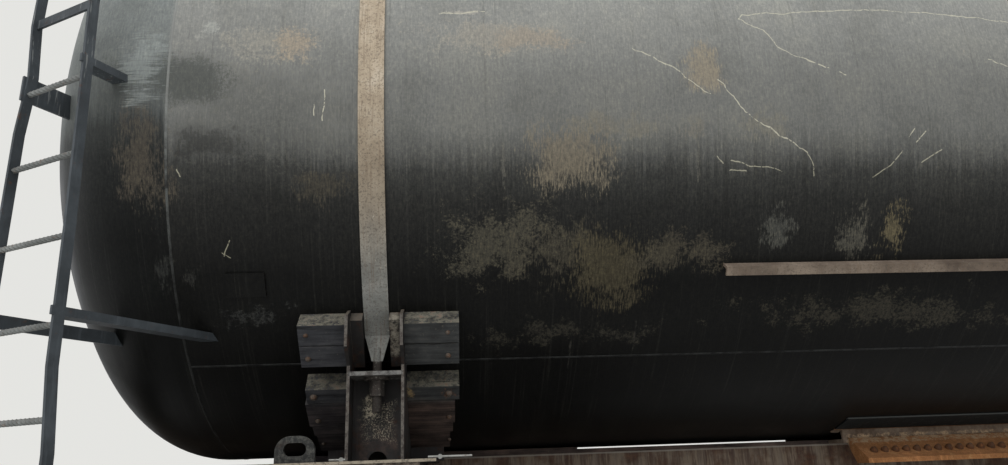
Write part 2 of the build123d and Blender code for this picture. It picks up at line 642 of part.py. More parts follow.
def coupler():
    """The coupler of the +X end."""
    face = COUPLING_X
    with BuildPart() as body:
        with BuildSketch(Plane.XY.offset(COUPLER_Z - SHANK_H / 2)):
            with BuildLine():
                Line((COUPLER_PIN_X, -SHANK_W / 2), (face - 260, -SHANK_W / 2))
                Line((face - 260, -SHANK_W / 2), (face - 260, SHANK_W / 2))
                Line((face - 260, SHANK_W / 2), (COUPLER_PIN_X, SHANK_W / 2))
                ThreePointArc((COUPLER_PIN_X, SHANK_W / 2), (COUPLER_PIN_X - SHANK_W / 2, 0),
                              (COUPLER_PIN_X, -SHANK_W / 2))
            make_face()
        extrude(amount=SHANK_H)
        with BuildSketch(Plane.XY.offset(COUPLER_Z - 140)):
            with BuildLine():
                FilletPolyline((face - 290, -75), (face - 210, -170), (face - 70, -215),
                               (face - 5, -190), (face + 10, -120), (face - 60, -105),
                               (face - 115, -60), (face - 115, 60), (face - 75, 105),
                               (face + 70, 95), (face + 100, 135), (face + 85, 205),
                               (face - 30, 235), (face - 190, 190), (face - 290, 75),
                               radius=JAW_ROUND, close=True)
            make_face()
        extrude(amount=280)
        with BuildSketch(Plane.XY.offset(COUPLER_Z - 60)):
            with BuildLine():
                Polyline((face - 116, -50), (face - 50, -45), (face - 62, 40),
                         (face - 116, 30), close=True)
            make_face()
        extrude(amount=120)
    return body.part


with BuildPart() as coupler_front:
    add(turned(coupler()))
save(coupler_front, "coupler_front")
with BuildPart() as coupler_rear:
    add(coupler())
save(coupler_rear, "coupler_rear")

# Uncoupling levers: a bent rod across each end beam in two brackets.
LEVER_Z = DECK_Z - 95.0
LEVER_R = 12.0
with BuildPart() as uncoupling_levers:
    with BuildLine(Plane.YZ.offset(-END_FACE_X - 60)) as lever_path:
        FilletPolyline((-1390, LEVER_Z - 330), (-1390, LEVER_Z), (-230, LEVER_Z),
                       radius=40)
    with BuildSketch(Plane(origin=lever_path.line @ 0, z_dir=lever_path.line % 0)):
        Circle(LEVER_R)
    sweep(path=lever_path.line)
    for y in (-1180, -330):
        with BuildSketch(Plane.YZ.offset(-END_FACE_X - 80)):
            with Locations((y, LEVER_Z)):
                Rectangle(16, 60)
        extrude(amount=80)
    add(turned(uncoupling_levers.part))
save(uncoupling_levers, "uncoupling_levers")

# Anchor feet at mid-length: on each side an upright strip, welded to a thin pad low on
# the tank, whose sloping flange is bolted to the one that comes up from the sill.
FOOT_HALF = 1628.0
FOOT_FLANGE_HALF = FOOT_HALF - 25.0
FOOT_PAD_HALF = FOOT_HALF + 40.0
FOOT_PAD = 8.0
FOOT_PAD_DEG = (70.6, 78.5)
FOOT_STRIP_Y = 342.0          # outer face of the upright strip
FOOT_STRIP = 14.0
FOOT_TOE_Y = 510.0            # outer edge of the sloping flange
FOOT_KNEE_Z = SILL_TOP + 27.0
FOOT_TOE_Z = SILL_TOP - 77.0
FOOT_FLANGE = 22.0
FOOT_BASE = 18.0              # the plate on the sill's top
FOOT_STRIP_TOP = TANK_LOW_Z + 90.0
with BuildPart() as anchor_feet:
    with BuildSketch(Plane.YZ.offset(-FOOT_HALF)):
        with BuildLine():
            Polyline((-SILL_IN_HALF + 60, SILL_TOP), (-SILL_IN_HALF + 60, SILL_TOP + FOOT_BASE),
                     (-FOOT_STRIP_Y + FOOT_STRIP, SILL_TOP + FOOT_BASE),
                     (-FOOT_STRIP_Y + FOOT_STRIP, FOOT_STRIP_TOP), (-FOOT_STRIP_Y, FOOT_STRIP_TOP),
                     (-FOOT_STRIP_Y, SILL_TOP), close=True)
        make_face()
        with Locations((0, TANK_AXIS_Z)):
            Circle(TANK_R + SEAT_GAP, mode=Mode.SUBTRACT)
    extrude(amount=2 * FOOT_HALF)
    with BuildSketch(Plane.YZ.offset(-FOOT_FLANGE_HALF)):
        with BuildLine():
            Polyline((-FOOT_STRIP_Y, FOOT_KNEE_Z), (-FOOT_TOE_Y, FOOT_TOE_Z),
                     (-FOOT_TOE_Y, FOOT_TOE_Z - FOOT_FLANGE),
                     (-FOOT_TOE_Y + 110, FOOT_TOE_Z - FOOT_FLANGE),
                     (-FOOT_STRIP_Y + FOOT_STRIP, SILL_TOP),
                     (-FOOT_STRIP_Y + FOOT_STRIP, FOOT_KNEE_Z), close=True)
        make_face()
    extrude(amount=2 * FOOT_FLANGE_HALF)
    with BuildSketch(Plane.YZ.offset(-FOOT_PAD_HALF)):
        with BuildLine():
            Polyline(*wedge(TANK_R - 5, TANK_R + FOOT_PAD, *FOOT_PAD_DEG), close=True)
        make_face()
        with Locations((0, TANK_AXIS_Z)):
            Circle(TANK_R + SEAT_GAP, mode=Mode.SUBTRACT)
    extrude(amount=2 * FOOT_PAD_HALF)
    mirror(about=Plane.XZ)
save(anchor_feet, "anchor_feet")

# Angle strips along the tank's sides, and small pads near the saddles.
STRIP_DEG = 34.3
STRIP_HALF = 2490.0
PADS = ((-PIVOT_X - 499.0, 35.5, 150.0),)
with BuildPart() as side_strips:
    with BuildSketch(Plane.YZ.offset(-STRIP_HALF)):
        with BuildLine():
            Polyline(polar(TANK_R - 20, STRIP_DEG - 0.9), polar(TANK_R + 46, STRIP_DEG - 0.9),
                     polar(TANK_R + 46, STRIP_DEG + 0.5), polar(TANK_R + 36, STRIP_DEG + 0.5),
                     polar(TANK_R + 36, STRIP_DEG - 0.5), polar(TANK_R - 20, STRIP_DEG - 0.5),
                     close=True)
        make_face()
        with Locations((0, TANK_AXIS_Z)):
            Circle(TANK_R + SEAT_GAP, mode=Mode.SUBTRACT)
    extrude(amount=2 * STRIP_HALF)
    mirror(about=Plane.XZ)
save(side_strips, "side_strips")

with BuildPart() as tank_pads:
    for x, deg, width in PADS:
        with BuildSketch(Plane.YZ.offset(x - width / 2)):
            with BuildLine():
                Polyline(*wedge(TANK_R - 5, TANK_R + 10, deg - 1.9, deg + 1.9), close=True)
            make_face()
            with Locations((0, TANK_AXIS_Z)):
                Circle(TANK_R + SEAT_GAP, mode=Mode.SUBTRACT)
        extrude(amount=width)
    mirror(about=Plane.XZ)
    mirror(about=Plane.YZ)
save(tank_pads, "tank_pads")

# End ladders: two flat stringers, turned to wrap round the head, upright to the
# height of the shoulder and then leaning in to the walkway; rungs between them.
# Knocks have bent the upright stretch, so each stringer drifts along the ladder.
LADDER_IN = (-4918.0, -1630.0)      # plan place of the stringer nearer mid-length
LADDER_OUT = (-5194.0, -1472.0)     # and of the one nearer the end
LADDER_FOOT_Z = 620.0
LADDER_KNEE_Z = TANK_AXIS_Z + 520.0
LADDER_LEAN_Z = TANK_AXIS_Z + 1285.0
LADDER_TOP_Z = WALK_Z - BOARD / 2
RUNG_R = 9.0
RUNG_FIRST_Z = 765.0
RUNG_PITCH = 304.0
FLAT_RUNG = 7                       # this rung is a flat bar
FLAT_RUNG_HEIGHT = 38.0
STRINGER = 38.0
STRINGER_THICK = 12.0
KNEE_SHIFT = 620.0
# columns: height, drift of the stringer to the ladder's mid-length side
BENDS_IN = ((LADDER_FOOT_Z, 96.0), (1270.0, 86.0), (1540.0, 50.0), (2020.0, 40.0), (2560.0, 16.0),
            (2900.0, 0.0), (LADDER_KNEE_Z, 0.0))
BENDS_OUT = ((LADDER_FOOT_Z, -12.0), (2430.0, -9.0), (2660.0, 20.0), (2885.0, -8.0), (3060.0, 0.0),
             (LADDER_KNEE_Z, 0.0))
ladder_dx = LADDER_IN[0] - LADDER_OUT[0]
ladder_dy = LADDER_IN[1] - LADDER_OUT[1]
ladder_width = math.hypot(ladder_dx, ladder_dy)
along = Vector(ladder_dx / ladder_width, ladder_dy / ladder_width, 0)
inward = Vector(-along.Y, along.X, 0)


def ladder_plane(start):
    """A plane through a stringer, seen along the rungs: x is inward, y is up."""
    return Plane(origin=(start[0], start[1], 0), x_dir=inward, z_dir=inward.cross(Vector(0, 0, 1)))


def drift(bends, z):
    """How far a bent stringer is off its straight line at a height."""
    for (z_low, low), (z_high, high) in zip(bends, bends[1:]):
        if z <= z_high:
            return low + (high - low) * (z - z_low) / (z_high - z_low)
    return 0.0


def stringer(start, bends):
    """One bent flat bar, trimmed at the edge of the running board."""
    straight_z = bends[-2][0]
    half = STRINGER_THICK / 2
    reach = (-start[1] - RUN_HALF) / inward.Y
    low_right = [(move + half, z) for z, move in bends]
    low_left = [(move - half, z) for z, move in reversed(bends)]
    with BuildPart() as bar:
        with BuildSketch(Plane(origin=(start[0], start[1], 0), x_dir=along, z_dir=-inward)):
            with BuildLine():
                Polyline(*low_right, *low_left, close=True)
            make_face()
        extrude(amount=STRINGER / 2, both=True)
        with BuildSketch(ladder_plane(start)):
            with BuildLine():
                Polyline((-STRINGER / 2, straight_z), (-STRINGER / 2, LADDER_KNEE_Z + 10),
                         (KNEE_SHIFT - 12, LADDER_LEAN_Z + 16), (reach + 9, LADDER_TOP_Z + 16),
                         (reach + 9, LADDER_TOP_Z - 16), (KNEE_SHIFT + 6, LADDER_LEAN_Z - 18),
                         (STRINGER / 2, LADDER_KNEE_Z - 10), (STRINGER / 2, straight_z),
                         close=True)
            make_face()
        extrude(amount=half, both=True)
        with BuildSketch(Plane.XY.offset(WALK_Z - 200)):
            with Locations((start[0] + reach * inward.X, 0)):
                Rectangle(600, 2 * RUN_HALF)
        extrude(amount=400, mode=Mode.SUBTRACT)
    return bar.part


RUNG_COUNT = int((LADDER_KNEE_Z - RUNG_FIRST_Z) / RUNG_PITCH) + 1
rung_places = [(0.0, RUNG_FIRST_Z + i * RUNG_PITCH) for i in range(RUNG_COUNT)]
lean = math.hypot(KNEE_SHIFT, LADDER_LEAN_Z - LADDER_KNEE_Z)
rung_places += [(KNEE_SHIFT * k / lean, LADDER_KNEE_Z + (LADDER_LEAN_Z - LADDER_KNEE_Z) * k / lean)
                for k in (250.0, 550.0, 850.0)]
top_short = (-LADDER_OUT[1] - RUN_HALF) / inward.Y
lean_two = math.hypot(top_short - KNEE_SHIFT, LADDER_TOP_Z - LADDER_LEAN_Z)
rung_places += [(KNEE_SHIFT + (top_short - KNEE_SHIFT) * k / lean_two,
                 LADDER_LEAN_Z + (LADDER_TOP_Z - LADDER_LEAN_Z) * k / lean_two)
                for k in (140.0, 420.0)]
bar_in = stringer(LADDER_IN, BENDS_IN)
bar_out = stringer(LADDER_OUT, BENDS_OUT)
with BuildPart() as ladder_rungs:
    for number, (depth, z) in enumerate(rung_places):
        from_out = drift(BENDS_OUT, z)
        to_in = ladder_width + drift(BENDS_IN, z)
        with BuildSketch(ladder_plane(LADDER_OUT).offset(from_out)):
            with Locations((depth, z)):
                if number == FLAT_RUNG:
                    Rectangle(PLATE, FLAT_RUNG_HEIGHT)
                else:
                    Circle(RUNG_R)
        extrude(amount=to_in - from_out)
    add(bar_in, mode=Mode.SUBTRACT)
    add(bar_out, mode=Mode.SUBTRACT)
    add(turned(ladder_rungs.part))
save(ladder_rungs, "ladder_rungs")

# Brackets that tie the stringers to the head, and the foot brackets on the side
# channel. A tie with a leg is an angle with its level leg below, behind the stringer.
TIE_REACH = 760.0
TIE_TAB = 9.0                       # the ties stand out in front of the stringers
# columns: stringer, its bends, lower edge, height, width of the level leg
LADDER_TIES = (
    (LADDER_IN, BENDS_IN, 2635.0, 30.0, 56.0),
    (LADDER_OUT, BENDS_OUT, 2560.0, 98.0, 0.0),
    (LADDER_IN, BENDS_IN, 1705.0, 30.0, 56.0),
    (LADDER_OUT, BENDS_OUT, 1705.0, 50.0, 0.0),
)


def stringer_place(start, bends, z):
    """The middle of a stringer in plan at a height."""
    return (start[0] + along.X * drift(bends, z), start[1] + along.Y * drift(bends, z))


with BuildPart() as ties:
    for start, bends, z, height, leg in LADDER_TIES:
        x, y = stringer_place(start, bends, z)
        with BuildSketch(Plane(origin=(x, y, z), x_dir=inward, z_dir=(0, 0, 1))):
            with Locations((TIE_REACH / 2 - STRINGER / 2 - TIE_TAB, 0)):
                Rectangle(TIE_REACH, PLATE)
        extrude(amount=height)
        if leg > 0:
            with BuildSketch(Plane(origin=(x, y, z), x_dir=inward, z_dir=(0, 0, 1))):
                with Locations((TIE_REACH / 2, leg / 2)):
                    Rectangle(TIE_REACH - STRINGER, leg)
            extrude(amount=PLATE)
    add(turned(head_form(BARREL_HALF - 600, SEAT_GAP)), mode=Mode.SUBTRACT)
FOOT_BRACKET_Z = DECK_Z - 90.0
FOOT_BRACKET = 50.0
with BuildPart() as ladder_stringers:
    add(bar_in)
    add(bar_out)
    add(ties.part)
    for start, bends, before in ((LADDER_OUT, BENDS_OUT, -5.0), (LADDER_IN, BENDS_IN, -15.0)):
        x, y = stringer_place(start, bends, FOOT_BRACKET_Z + FOOT_BRACKET / 2)
        with BuildSketch(Plane.XY.offset(FOOT_BRACKET_Z)):
            with BuildLine():
                Polyline((x + before, y + STRINGER / 2 - 8),
                         (x + before + FOOT_BRACKET, y + STRINGER / 2 - 8),
                         (x + before + FOOT_BRACKET, -CONSOLE_Y - 60), (x + before, -CONSOLE_Y - 60),
                         close=True)
            make_face()
        extrude(amount=FOOT_BRACKET)
    add(turned(ladder_stringers.part))
save(ladder_stringers, "ladder_stringers")

# Bottom outlet: the neck through the sill, the valve body and the cap.
OUTLET_BOTTOM = SILL_BOTTOM - 140.0
with BuildPart() as bottom_outlet:
    with BuildSketch(Plane.XZ):
        with BuildLine():
            Polyline((0, TANK_AXIS_Z - TANK_R + 20), (OUTLET_R, TANK_AXIS_Z - TANK_R + 20),
                     (OUTLET_R, SILL_BOTTOM - 10), (OUTLET_R + 35, SILL_BOTTOM - 10),
                     (OUTLET_R + 35, SILL_BOTTOM - 34), (OUTLET_R - 10, SILL_BOTTOM - 34),
                     (OUTLET_R - 10, OUTLET_BOTTOM), (0, OUTLET_BOTTOM), close=True)
        make_face()
    revolve(axis=Axis.Z)
    with BuildSketch(Plane.YZ.offset(-200)):
        with Locations((0, TANK_AXIS_Z)):
            Circle(TANK_R + SEAT_GAP)
    extrude(amount=400, mode=Mode.SUBTRACT)
save(bottom_outlet, "bottom_outlet")

# Brake gear on the frame: cylinder, reservoir and distributor hung from the sill.
CYLINDER_R = 178.0
CYLINDER_X = 1350.0
CYLINDER_Y = 430.0
CYLINDER_Z = 738.0
with BuildPart() as brake_cylinder:
    with BuildSketch(Plane.XY.offset(CYLINDER_Z)):
        with BuildLine():
            Polyline((CYLINDER_X - 230, CYLINDER_Y), (CYLINDER_X - 230, CYLINDER_Y + CYLINDER_R),
                     (CYLINDER_X + 200, CYLINDER_Y + CYLINDER_R),
                     (CYLINDER_X + 200, CYLINDER_Y + CYLINDER_R + 22),
                     (CYLINDER_X + 222, CYLINDER_Y + CYLINDER_R + 22),
                     (CYLINDER_X + 235, CYLINDER_Y + 130), (CYLINDER_X + 320, CYLINDER_Y + 60),
                     (CYLINDER_X + 320, CYLINDER_Y + 26), (CYLINDER_X + 520, CYLINDER_Y + 26),
                     (CYLINDER_X + 520, CYLINDER_Y), close=True)
        make_face()
    revolve(axis=Axis((0, CYLINDER_Y, CYLINDER_Z), (1, 0, 0)))
    for x in (-150, 120):
        with BuildSketch(Plane.YZ.offset(CYLINDER_X + x)):
            with BuildLine():
                Polyline((SILL_OUT_HALF + 20, SILL_BOTTOM), (CYLINDER_Y + 150, SILL_BOTTOM),
                         (CYLINDER_Y + 150, CYLINDER_Z), (CYLINDER_Y - 150, CYLINDER_Z),
                         (SILL_OUT_HALF + 20, CYLINDER_Z + 60), close=True)
            make_face()
        extrude(amount=PLATE)
save(brake_cylinder, "brake_cylinder")

RESERVOIR_R = 155.0
RESERVOIR_HALF = 520.0
RESERVOIR_X = 1500.0
RESERVOIR_Y = -430.0
RESERVOIR_Z = 770.0
with BuildPart() as air_reservoir:
    with BuildSketch(Plane.XY.offset(RESERVOIR_Z)):
        with BuildLine():
            Line((RESERVOIR_X, RESERVOIR_Y),
                 (RESERVOIR_X + RESERVOIR_HALF + 70, RESERVOIR_Y))
            EllipticalCenterArc((RESERVOIR_X + RESERVOIR_HALF, RESERVOIR_Y), 70, RESERVOIR_R,
                                start_angle=0, arc_size=90)
            Line((RESERVOIR_X + RESERVOIR_HALF, RESERVOIR_Y + RESERVOIR_R),
                 (RESERVOIR_X, RESERVOIR_Y + RESERVOIR_R))
            Line((RESERVOIR_X, RESERVOIR_Y + RESERVOIR_R), (RESERVOIR_X, RESERVOIR_Y))
        make_face()
    revolve(axis=Axis((0, RESERVOIR_Y, RESERVOIR_Z), (1, 0, 0)))
    mirror(about=Plane.YZ.offset(RESERVOIR_X))
    for x in (-330, 320):
        with BuildSketch(Plane.YZ.offset(RESERVOIR_X + x)):
            with BuildLine():
                Polyline((-SILL_OUT_HALF - 20, SILL_BOTTOM), (RESERVOIR_Y - 120, SILL_BOTTOM),
                         (RESERVOIR_Y - 120, RESERVOIR_Z), (RESERVOIR_Y + 120, RESERVOIR_Z),
                         (-SILL_OUT_HALF - 20, RESERVOIR_Z + 60), close=True)
            make_face()
        extrude(amount=PLATE)
save(air_reservoir, "air_reservoir")

with BuildPart() as air_distributor:
    with BuildSketch(Plane.XY.offset(SILL_BOTTOM - 250)):
        with Locations((330, -400)):
            RectangleRounded(180, 220, 30)
    extrude(amount=230)
    with BuildSketch(Plane.YZ.offset(170)):
        with Locations((-400, SILL_BOTTOM - 130)):
            Circle(80)
    extrude(amount=320)
    with BuildSketch(Plane.XY.offset(SILL_BOTTOM - 20)):
        with Locations((330, -345)):
            Rectangle(200, 300)
    extrude(amount=20)
save(air_distributor, "air_distributor")

# Brake pipe along the sill, and the angle cock on each end beam; no hoses.
PIPE_R = 21.0
PIPE_Z = SILL_BOTTOM + 14 + PIPE_R + SEAT_GAP
COCK_Y = 290.0
with BuildPart() as brake_pipe:
    with BuildSketch(Plane.YZ.offset(-END_FACE_X)):
        with Locations((COCK_Y, SILL_BOTTOM - 40)):
            Circle(26)
    extrude(amount=-150)
    with BuildSketch(Plane.YZ.offset(-END_FACE_X)):
        with BuildLine():
            Polyline((COCK_Y - 45, SILL_BOTTOM + 60), (COCK_Y + 45, SILL_BOTTOM + 60),
                     (COCK_Y + 30, SILL_BOTTOM - 75), (COCK_Y - 30, SILL_BOTTOM - 75), close=True)
        make_face()
    extrude(amount=-PLATE)
    with BuildSketch(Plane.XY.offset(SILL_BOTTOM - 40)):
        with Locations((-END_FACE_X - 95, COCK_Y)):
            Circle(15)
    extrude(amount=60)
    add(turned(brake_pipe.part))
    with BuildSketch(Plane.YZ.offset(-PIVOT_X + BOLSTER_HALF_X + 40)):
        with Locations((-SILL_OUT_HALF - PIPE_R - 10, PIPE_Z)):
            Circle(PIPE_R)
    extrude(amount=2 * (PIVOT_X - BOLSTER_HALF_X - 40))
save(brake_pipe, "brake_pipe")

# Main brake rods and the levers at the cylinder, in safety loops below the sill.
ROD_Z = 800.0
ROD_INNER_X = 520.0
ROD_OUTER_X = PIVOT_X - 640.0
with BuildPart() as brake_rods:
    for x in (-ROD_OUTER_X, ROD_INNER_X):
        with BuildSketch(Plane.YZ.offset(x)):
            with Locations((0, ROD_Z)):
                Circle(16)
        extrude(amount=ROD_OUTER_X - ROD_INNER_X)
    for x in (-ROD_OUTER_X + 560, -ROD_INNER_X - 480, ROD_INNER_X + 480, ROD_OUTER_X - 560):
        with BuildSketch(Plane.YZ.offset(x)):
            with BuildLine():
                Polyline((-SILL_FOOT_HALF, SILL_BOTTOM), (-SILL_FOOT_HALF + 60, ROD_Z - 26),
                         (SILL_FOOT_HALF - 60, ROD_Z - 26), (SILL_FOOT_HALF, SILL_BOTTOM),
                         (SILL_FOOT_HALF - 12, SILL_BOTTOM), (SILL_FOOT_HALF - 70, ROD_Z - 16),
                         (-SILL_FOOT_HALF + 70, ROD_Z - 16), (-SILL_FOOT_HALF + 12, SILL_BOTTOM),
                         close=True)
            make_face()
        extrude(amount=12)
    with BuildSketch(Plane.XY.offset(ROD_Z - 10)):
        with BuildLine():
            Polyline((500, -90), (560, -90), (CYLINDER_X - 260, CYLINDER_Y + 30),
                     (CYLINDER_X - 232, CYLINDER_Y + 10), (560, 60), (500, 60), close=True)
        make_face()
    extrude(amount=20)
save(brake_rods, "brake_rods")


# The bogie: drawn about its own centre and moved to each pivot.
WINDOW_HALF = 310.0
JAW_HALF = 160.0
BOX_HALF = 150.0
BOX_TOP = AXLE_Z + 165.0
BOX_BOTTOM = AXLE_Z - 150.0
FRAME_THICK = 150.0
FRAME_RIM = 34.0              # width of the raised rims round a side frame's faces
FRAME_POCKET = 12.0           # and their height
SPRING_SEAT_Z = RAIL_Z + 275.0
SPRING_TOP_Z = RAIL_Z + 520.0
BOLSTER_END_TOP = RAIL_Z + 695.0
BOLSTER_SEAT_IN = 738.0
BOLSTER_END = 1298.0
AXLE_X = AXLE_SPACING / 2


def side_frames():
    """Two cast side frames with the spring window and the axle-box jaws."""
    z = RAIL_Z
    with BuildPart() as frames:
        with BuildSketch(Plane.XZ.offset(JOURNAL_Y - FRAME_THICK / 2)) as outline:
            with BuildLine():
                Polyline((0, z + 160), (280, z + 160), (590, z + 345), (AXLE_X - JAW_HALF, z + 345),
                         (AXLE_X - JAW_HALF, BOX_TOP), (AXLE_X + JAW_HALF, BOX_TOP),
                         (AXLE_X + JAW_HALF, z + 400), (AXLE_X + JAW_HALF + 75, z + 400),
                         (AXLE_X + JAW_HALF + 75, z + 690), (AXLE_X + JAW_HALF, z + 745),
                         (570, z + 800), (0, z + 815), close=True)
            make_face()
            with BuildLine():
                Polyline((375, z + 330), (375, z + 690), (600, z + 655), (640, z + 560),
                         (600, z + 440), close=True)
            make_face(mode=Mode.SUBTRACT)
            mirror(about=Plane.YZ)
            with Locations((0, (SPRING_SEAT_Z + z + 735) / 2)):
                Rectangle(2 * WINDOW_HALF, z + 735 - SPRING_SEAT_Z, mode=Mode.SUBTRACT)
        extrude(amount=FRAME_THICK)
        with BuildSketch(Plane.XZ.offset(JOURNAL_Y + FRAME_THICK / 2)):
            add(outline.sketch_local)
            offset(amount=-FRAME_RIM, kind=Kind.INTERSECTION, mode=Mode.REPLACE)
        extrude(amount=-FRAME_POCKET, mode=Mode.SUBTRACT)
        with BuildSketch(Plane.XZ.offset(JOURNAL_Y - SPRING_SHELF - 8)):
            with BuildLine():
                Polyline((-WINDOW_HALF, SPRING_SEAT_Z), (-WINDOW_HALF + 40, SPRING_SEAT_Z - 40),
                         (WINDOW_HALF - 40, SPRING_SEAT_Z - 40), (WINDOW_HALF, SPRING_SEAT_Z),
                         close=True)
            make_face()
        extrude(amount=2 * SPRING_SHELF + 16)
        mirror(about=Plane.XZ)
    return frames.part


def bogie_bolster():
    """Fish-belly cross beam with the centre bowl and the lower side bearers."""
    z = RAIL_Z
    with BuildPart() as beam:
        with BuildSketch(Plane.YZ.offset(-200)):
            with BuildLine():
                Polyline((0, z + 400), (330, z + 400), (BOLSTER_SEAT_IN, SPRING_TOP_Z),
                         (BOLSTER_END, SPRING_TOP_Z), (BOLSTER_END, BOLSTER_END_TOP),
                         (900, BOLSTER_END_TOP), (560, z + 760), (230, z + 780), (0, z + 780),
                         close=True)
            make_face()
            mirror(about=Plane.YZ)
        extrude(amount=400)
        with BuildSketch(Plane.XY.offset(z + 780)):
            Circle(CENTRE_PLATE_R + 40)
        extrude(amount=BOWL_FLOOR_Z - z - 780 + 30)
        with BuildSketch(Plane.XY.offset(BOWL_FLOOR_Z)):
            Circle(CENTRE_PLATE_R + BOWL_CLEARANCE)
        extrude(amount=40, mode=Mode.SUBTRACT)
        with BuildSketch(Plane.XY.offset(z + 700)):
            with Locations((0, SIDE_BEARER_Y), (0, -SIDE_BEARER_Y)):
                Rectangle(250, 150)
        extrude(amount=SIDE_BEARER_TOP - z - 700)
    return beam.part


SPRING_R = 98.0
SPRING_PITCH = 201.0
SPRING_ROW = SPRING_PITCH * math.sin(math.radians(60))
# Places of the seven springs of a nest, from the middle of the side frame.
SPRING_PLACES = (
    (-SPRING_PITCH / 2, -SPRING_ROW), (SPRING_PITCH / 2, -SPRING_ROW),
    (-SPRING_PITCH, 0.0), (0.0, 0.0), (SPRING_PITCH, 0.0),
    (-SPRING_PITCH / 2, SPRING_ROW), (SPRING_PITCH / 2, SPRING_ROW),
)
SPRING_SHELF = SPRING_ROW + SPRING_R


def springs():
    """Nests of coil springs below the bolster ends, and the friction wedges."""
    with BuildPart() as nests:
        with BuildSketch(Plane.XY.offset(SPRING_SEAT_Z)):
            with Locations(*[(x, -JOURNAL_Y + y) for x, y in SPRING_PLACES]):
                Circle(SPRING_R)
        extrude(amount=SPRING_TOP_Z - SPRING_SEAT_Z)
        with BuildSketch(Plane.XZ.offset(JOURNAL_Y - 60)):
            with BuildLine():
                Polyline((201, SPRING_TOP_Z), (WINDOW_HALF - 1, SPRING_TOP_Z),
                         (WINDOW_HALF - 1, BOLSTER_END_TOP - 20), (WINDOW_HALF - 30, BOLSTER_END_TOP - 20),
                         (201, SPRING_TOP_Z + 60), close=True)
            make_face()
            mirror(about=Plane.YZ)
        extrude(amount=120)
        mirror(about=Plane.XZ)
    return nests.part


def axle_boxes():
    """Cast boxes round the journals, with a round cover at the outer end."""
    inner = JOURNAL_Y - 88
    outer = JOURNAL_Y + 132
    with BuildPart() as boxes:
        with BuildSketch(Plane.XZ.offset(inner)):
            with BuildLine():
                Polyline((AXLE_X - BOX_HALF, BOX_TOP), (AXLE_X - BOX_HALF, AXLE_Z - 60),
                         (AXLE_X - 90, BOX_BOTTOM), (AXLE_X + 90, BOX_BOTTOM),
                         (AXLE_X + BOX_HALF, AXLE_Z - 60), (AXLE_X + BOX_HALF, BOX_TOP),
                         close=True)
            make_face()
        extrude(amount=outer - inner)
        with BuildSketch(Plane.XZ.offset(outer)):
            with Locations((AXLE_X, AXLE_Z)):
                Circle(132)
        extrude(amount=22)
        with BuildSketch(Plane.XZ.offset(inner)):
            with Locations((AXLE_X, AXLE_Z)):
                Circle(JOURNAL_R + BEARING_CLEARANCE)
        extrude(amount=outer - inner - 4, mode=Mode.SUBTRACT)
        mirror(about=Plane.XZ)
        mirror(about=Plane.YZ)
    return boxes.part


SHOE_GAP = 8.0
SHOE_THICK = 55.0
SHOE_Y = WHEEL_BACK_Y + 75.0
SHOE_Z = AXLE_Z - 40.0


def brake_beams():
    """Two brake beams with shoes at the wheels, and the hangers from the frames."""
    r_in = TREAD_R + SHOE_GAP
    with BuildPart() as beams:
        for y in (-SHOE_Y, SHOE_Y):
            with BuildSketch(Plane.XZ.offset(-y - 40)):
                with Locations((AXLE_X, AXLE_Z)):
                    Circle(r_in + SHOE_THICK)
                    Circle(r_in, mode=Mode.SUBTRACT)
                with BuildLine():
                    Polyline((AXLE_X, AXLE_Z), (AXLE_X - 700, AXLE_Z + 210),
                             (AXLE_X - 700, AXLE_Z - 330), close=True)
                make_face(mode=Mode.INTERSECT)
            extrude(amount=80)
        with BuildSketch(Plane.XY.offset(SHOE_Z - 45)):
            with BuildLine():
                x = AXLE_X - r_in - SHOE_THICK + 8
                Polyline((x, -SHOE_Y - 40), (x, SHOE_Y + 40), (x - 55, SHOE_Y + 40),
                         (x - 110, 60), (x - 110, -60), (x - 55, -SHOE_Y - 40), close=True)
            make_face()
        extrude(amount=70)
        mirror(about=Plane.YZ)
    return beams.part


# Wheelset in half section: axle, hubs, dished discs and rims in one revolve.
# columns: distance from the middle of the car, radius
RIM_R = TREAD_R - 57.0
RIM_OUT_Y = WHEEL_BACK_Y + RIM_WIDTH
WHEEL_SECTION = (
    (0, 0), (0, 82), (680, 82), (695, 97), (695, 135), (762, 160), (752, RIM_R - 13),
    (WHEEL_BACK_Y, RIM_R), (WHEEL_BACK_Y, TREAD_R + FLANGE - 11), (WHEEL_BACK_Y + 7, TREAD_R + FLANGE - 3),
    (WHEEL_BACK_Y + 16, TREAD_R + FLANGE), (WHEEL_BACK_Y + 25, TREAD_R + FLANGE - 8),
    (WHEEL_BACK_Y + 32, TREAD_R + 9), (WHEEL_BACK_Y + 48, TREAD_R + 1), (RIM_OUT_Y - 8, TREAD_R - 4),
    (RIM_OUT_Y, TREAD_R - 12), (RIM_OUT_Y, RIM_R - 6), (806, RIM_R - 18),
    (812, 160), (880, 132), (880, 97), (905, 82), (925, 82), (930, JOURNAL_R),
    (1140, JOURNAL_R), (1140, 0),
)


def wheelset(x):
    """One axle with its two wheels."""
    with BuildPart() as pair:
        with BuildSketch(Plane.XY.offset(AXLE_Z)):
            with BuildLine():
                Polyline(*[(x + r, y) for y, r in WHEEL_SECTION], close=True)
            make_face()
        revolve(axis=Axis((x, 0, AXLE_Z), (0, 1, 0)))
        mirror(about=Plane.XZ)
    return pair.part


BOGIE_PIECES = (
    (side_frames(), "side_frames"),
    (bogie_bolster(), "bogie_bolster"),
    (springs(), "springs"),
    (axle_boxes(), "axle_boxes"),
    (brake_beams(), "brake_beams"),
)
for piece, name in BOGIE_PIECES:
    with BuildPart() as front_piece:
        add(piece.moved(Location((-PIVOT_X, 0, 0))))
    save(front_piece, name + "_front")
    with BuildPart() as rear_piece:
        add(piece.moved(Location((PIVOT_X, 0, 0))))
    save(rear_piece, name + "_rear")

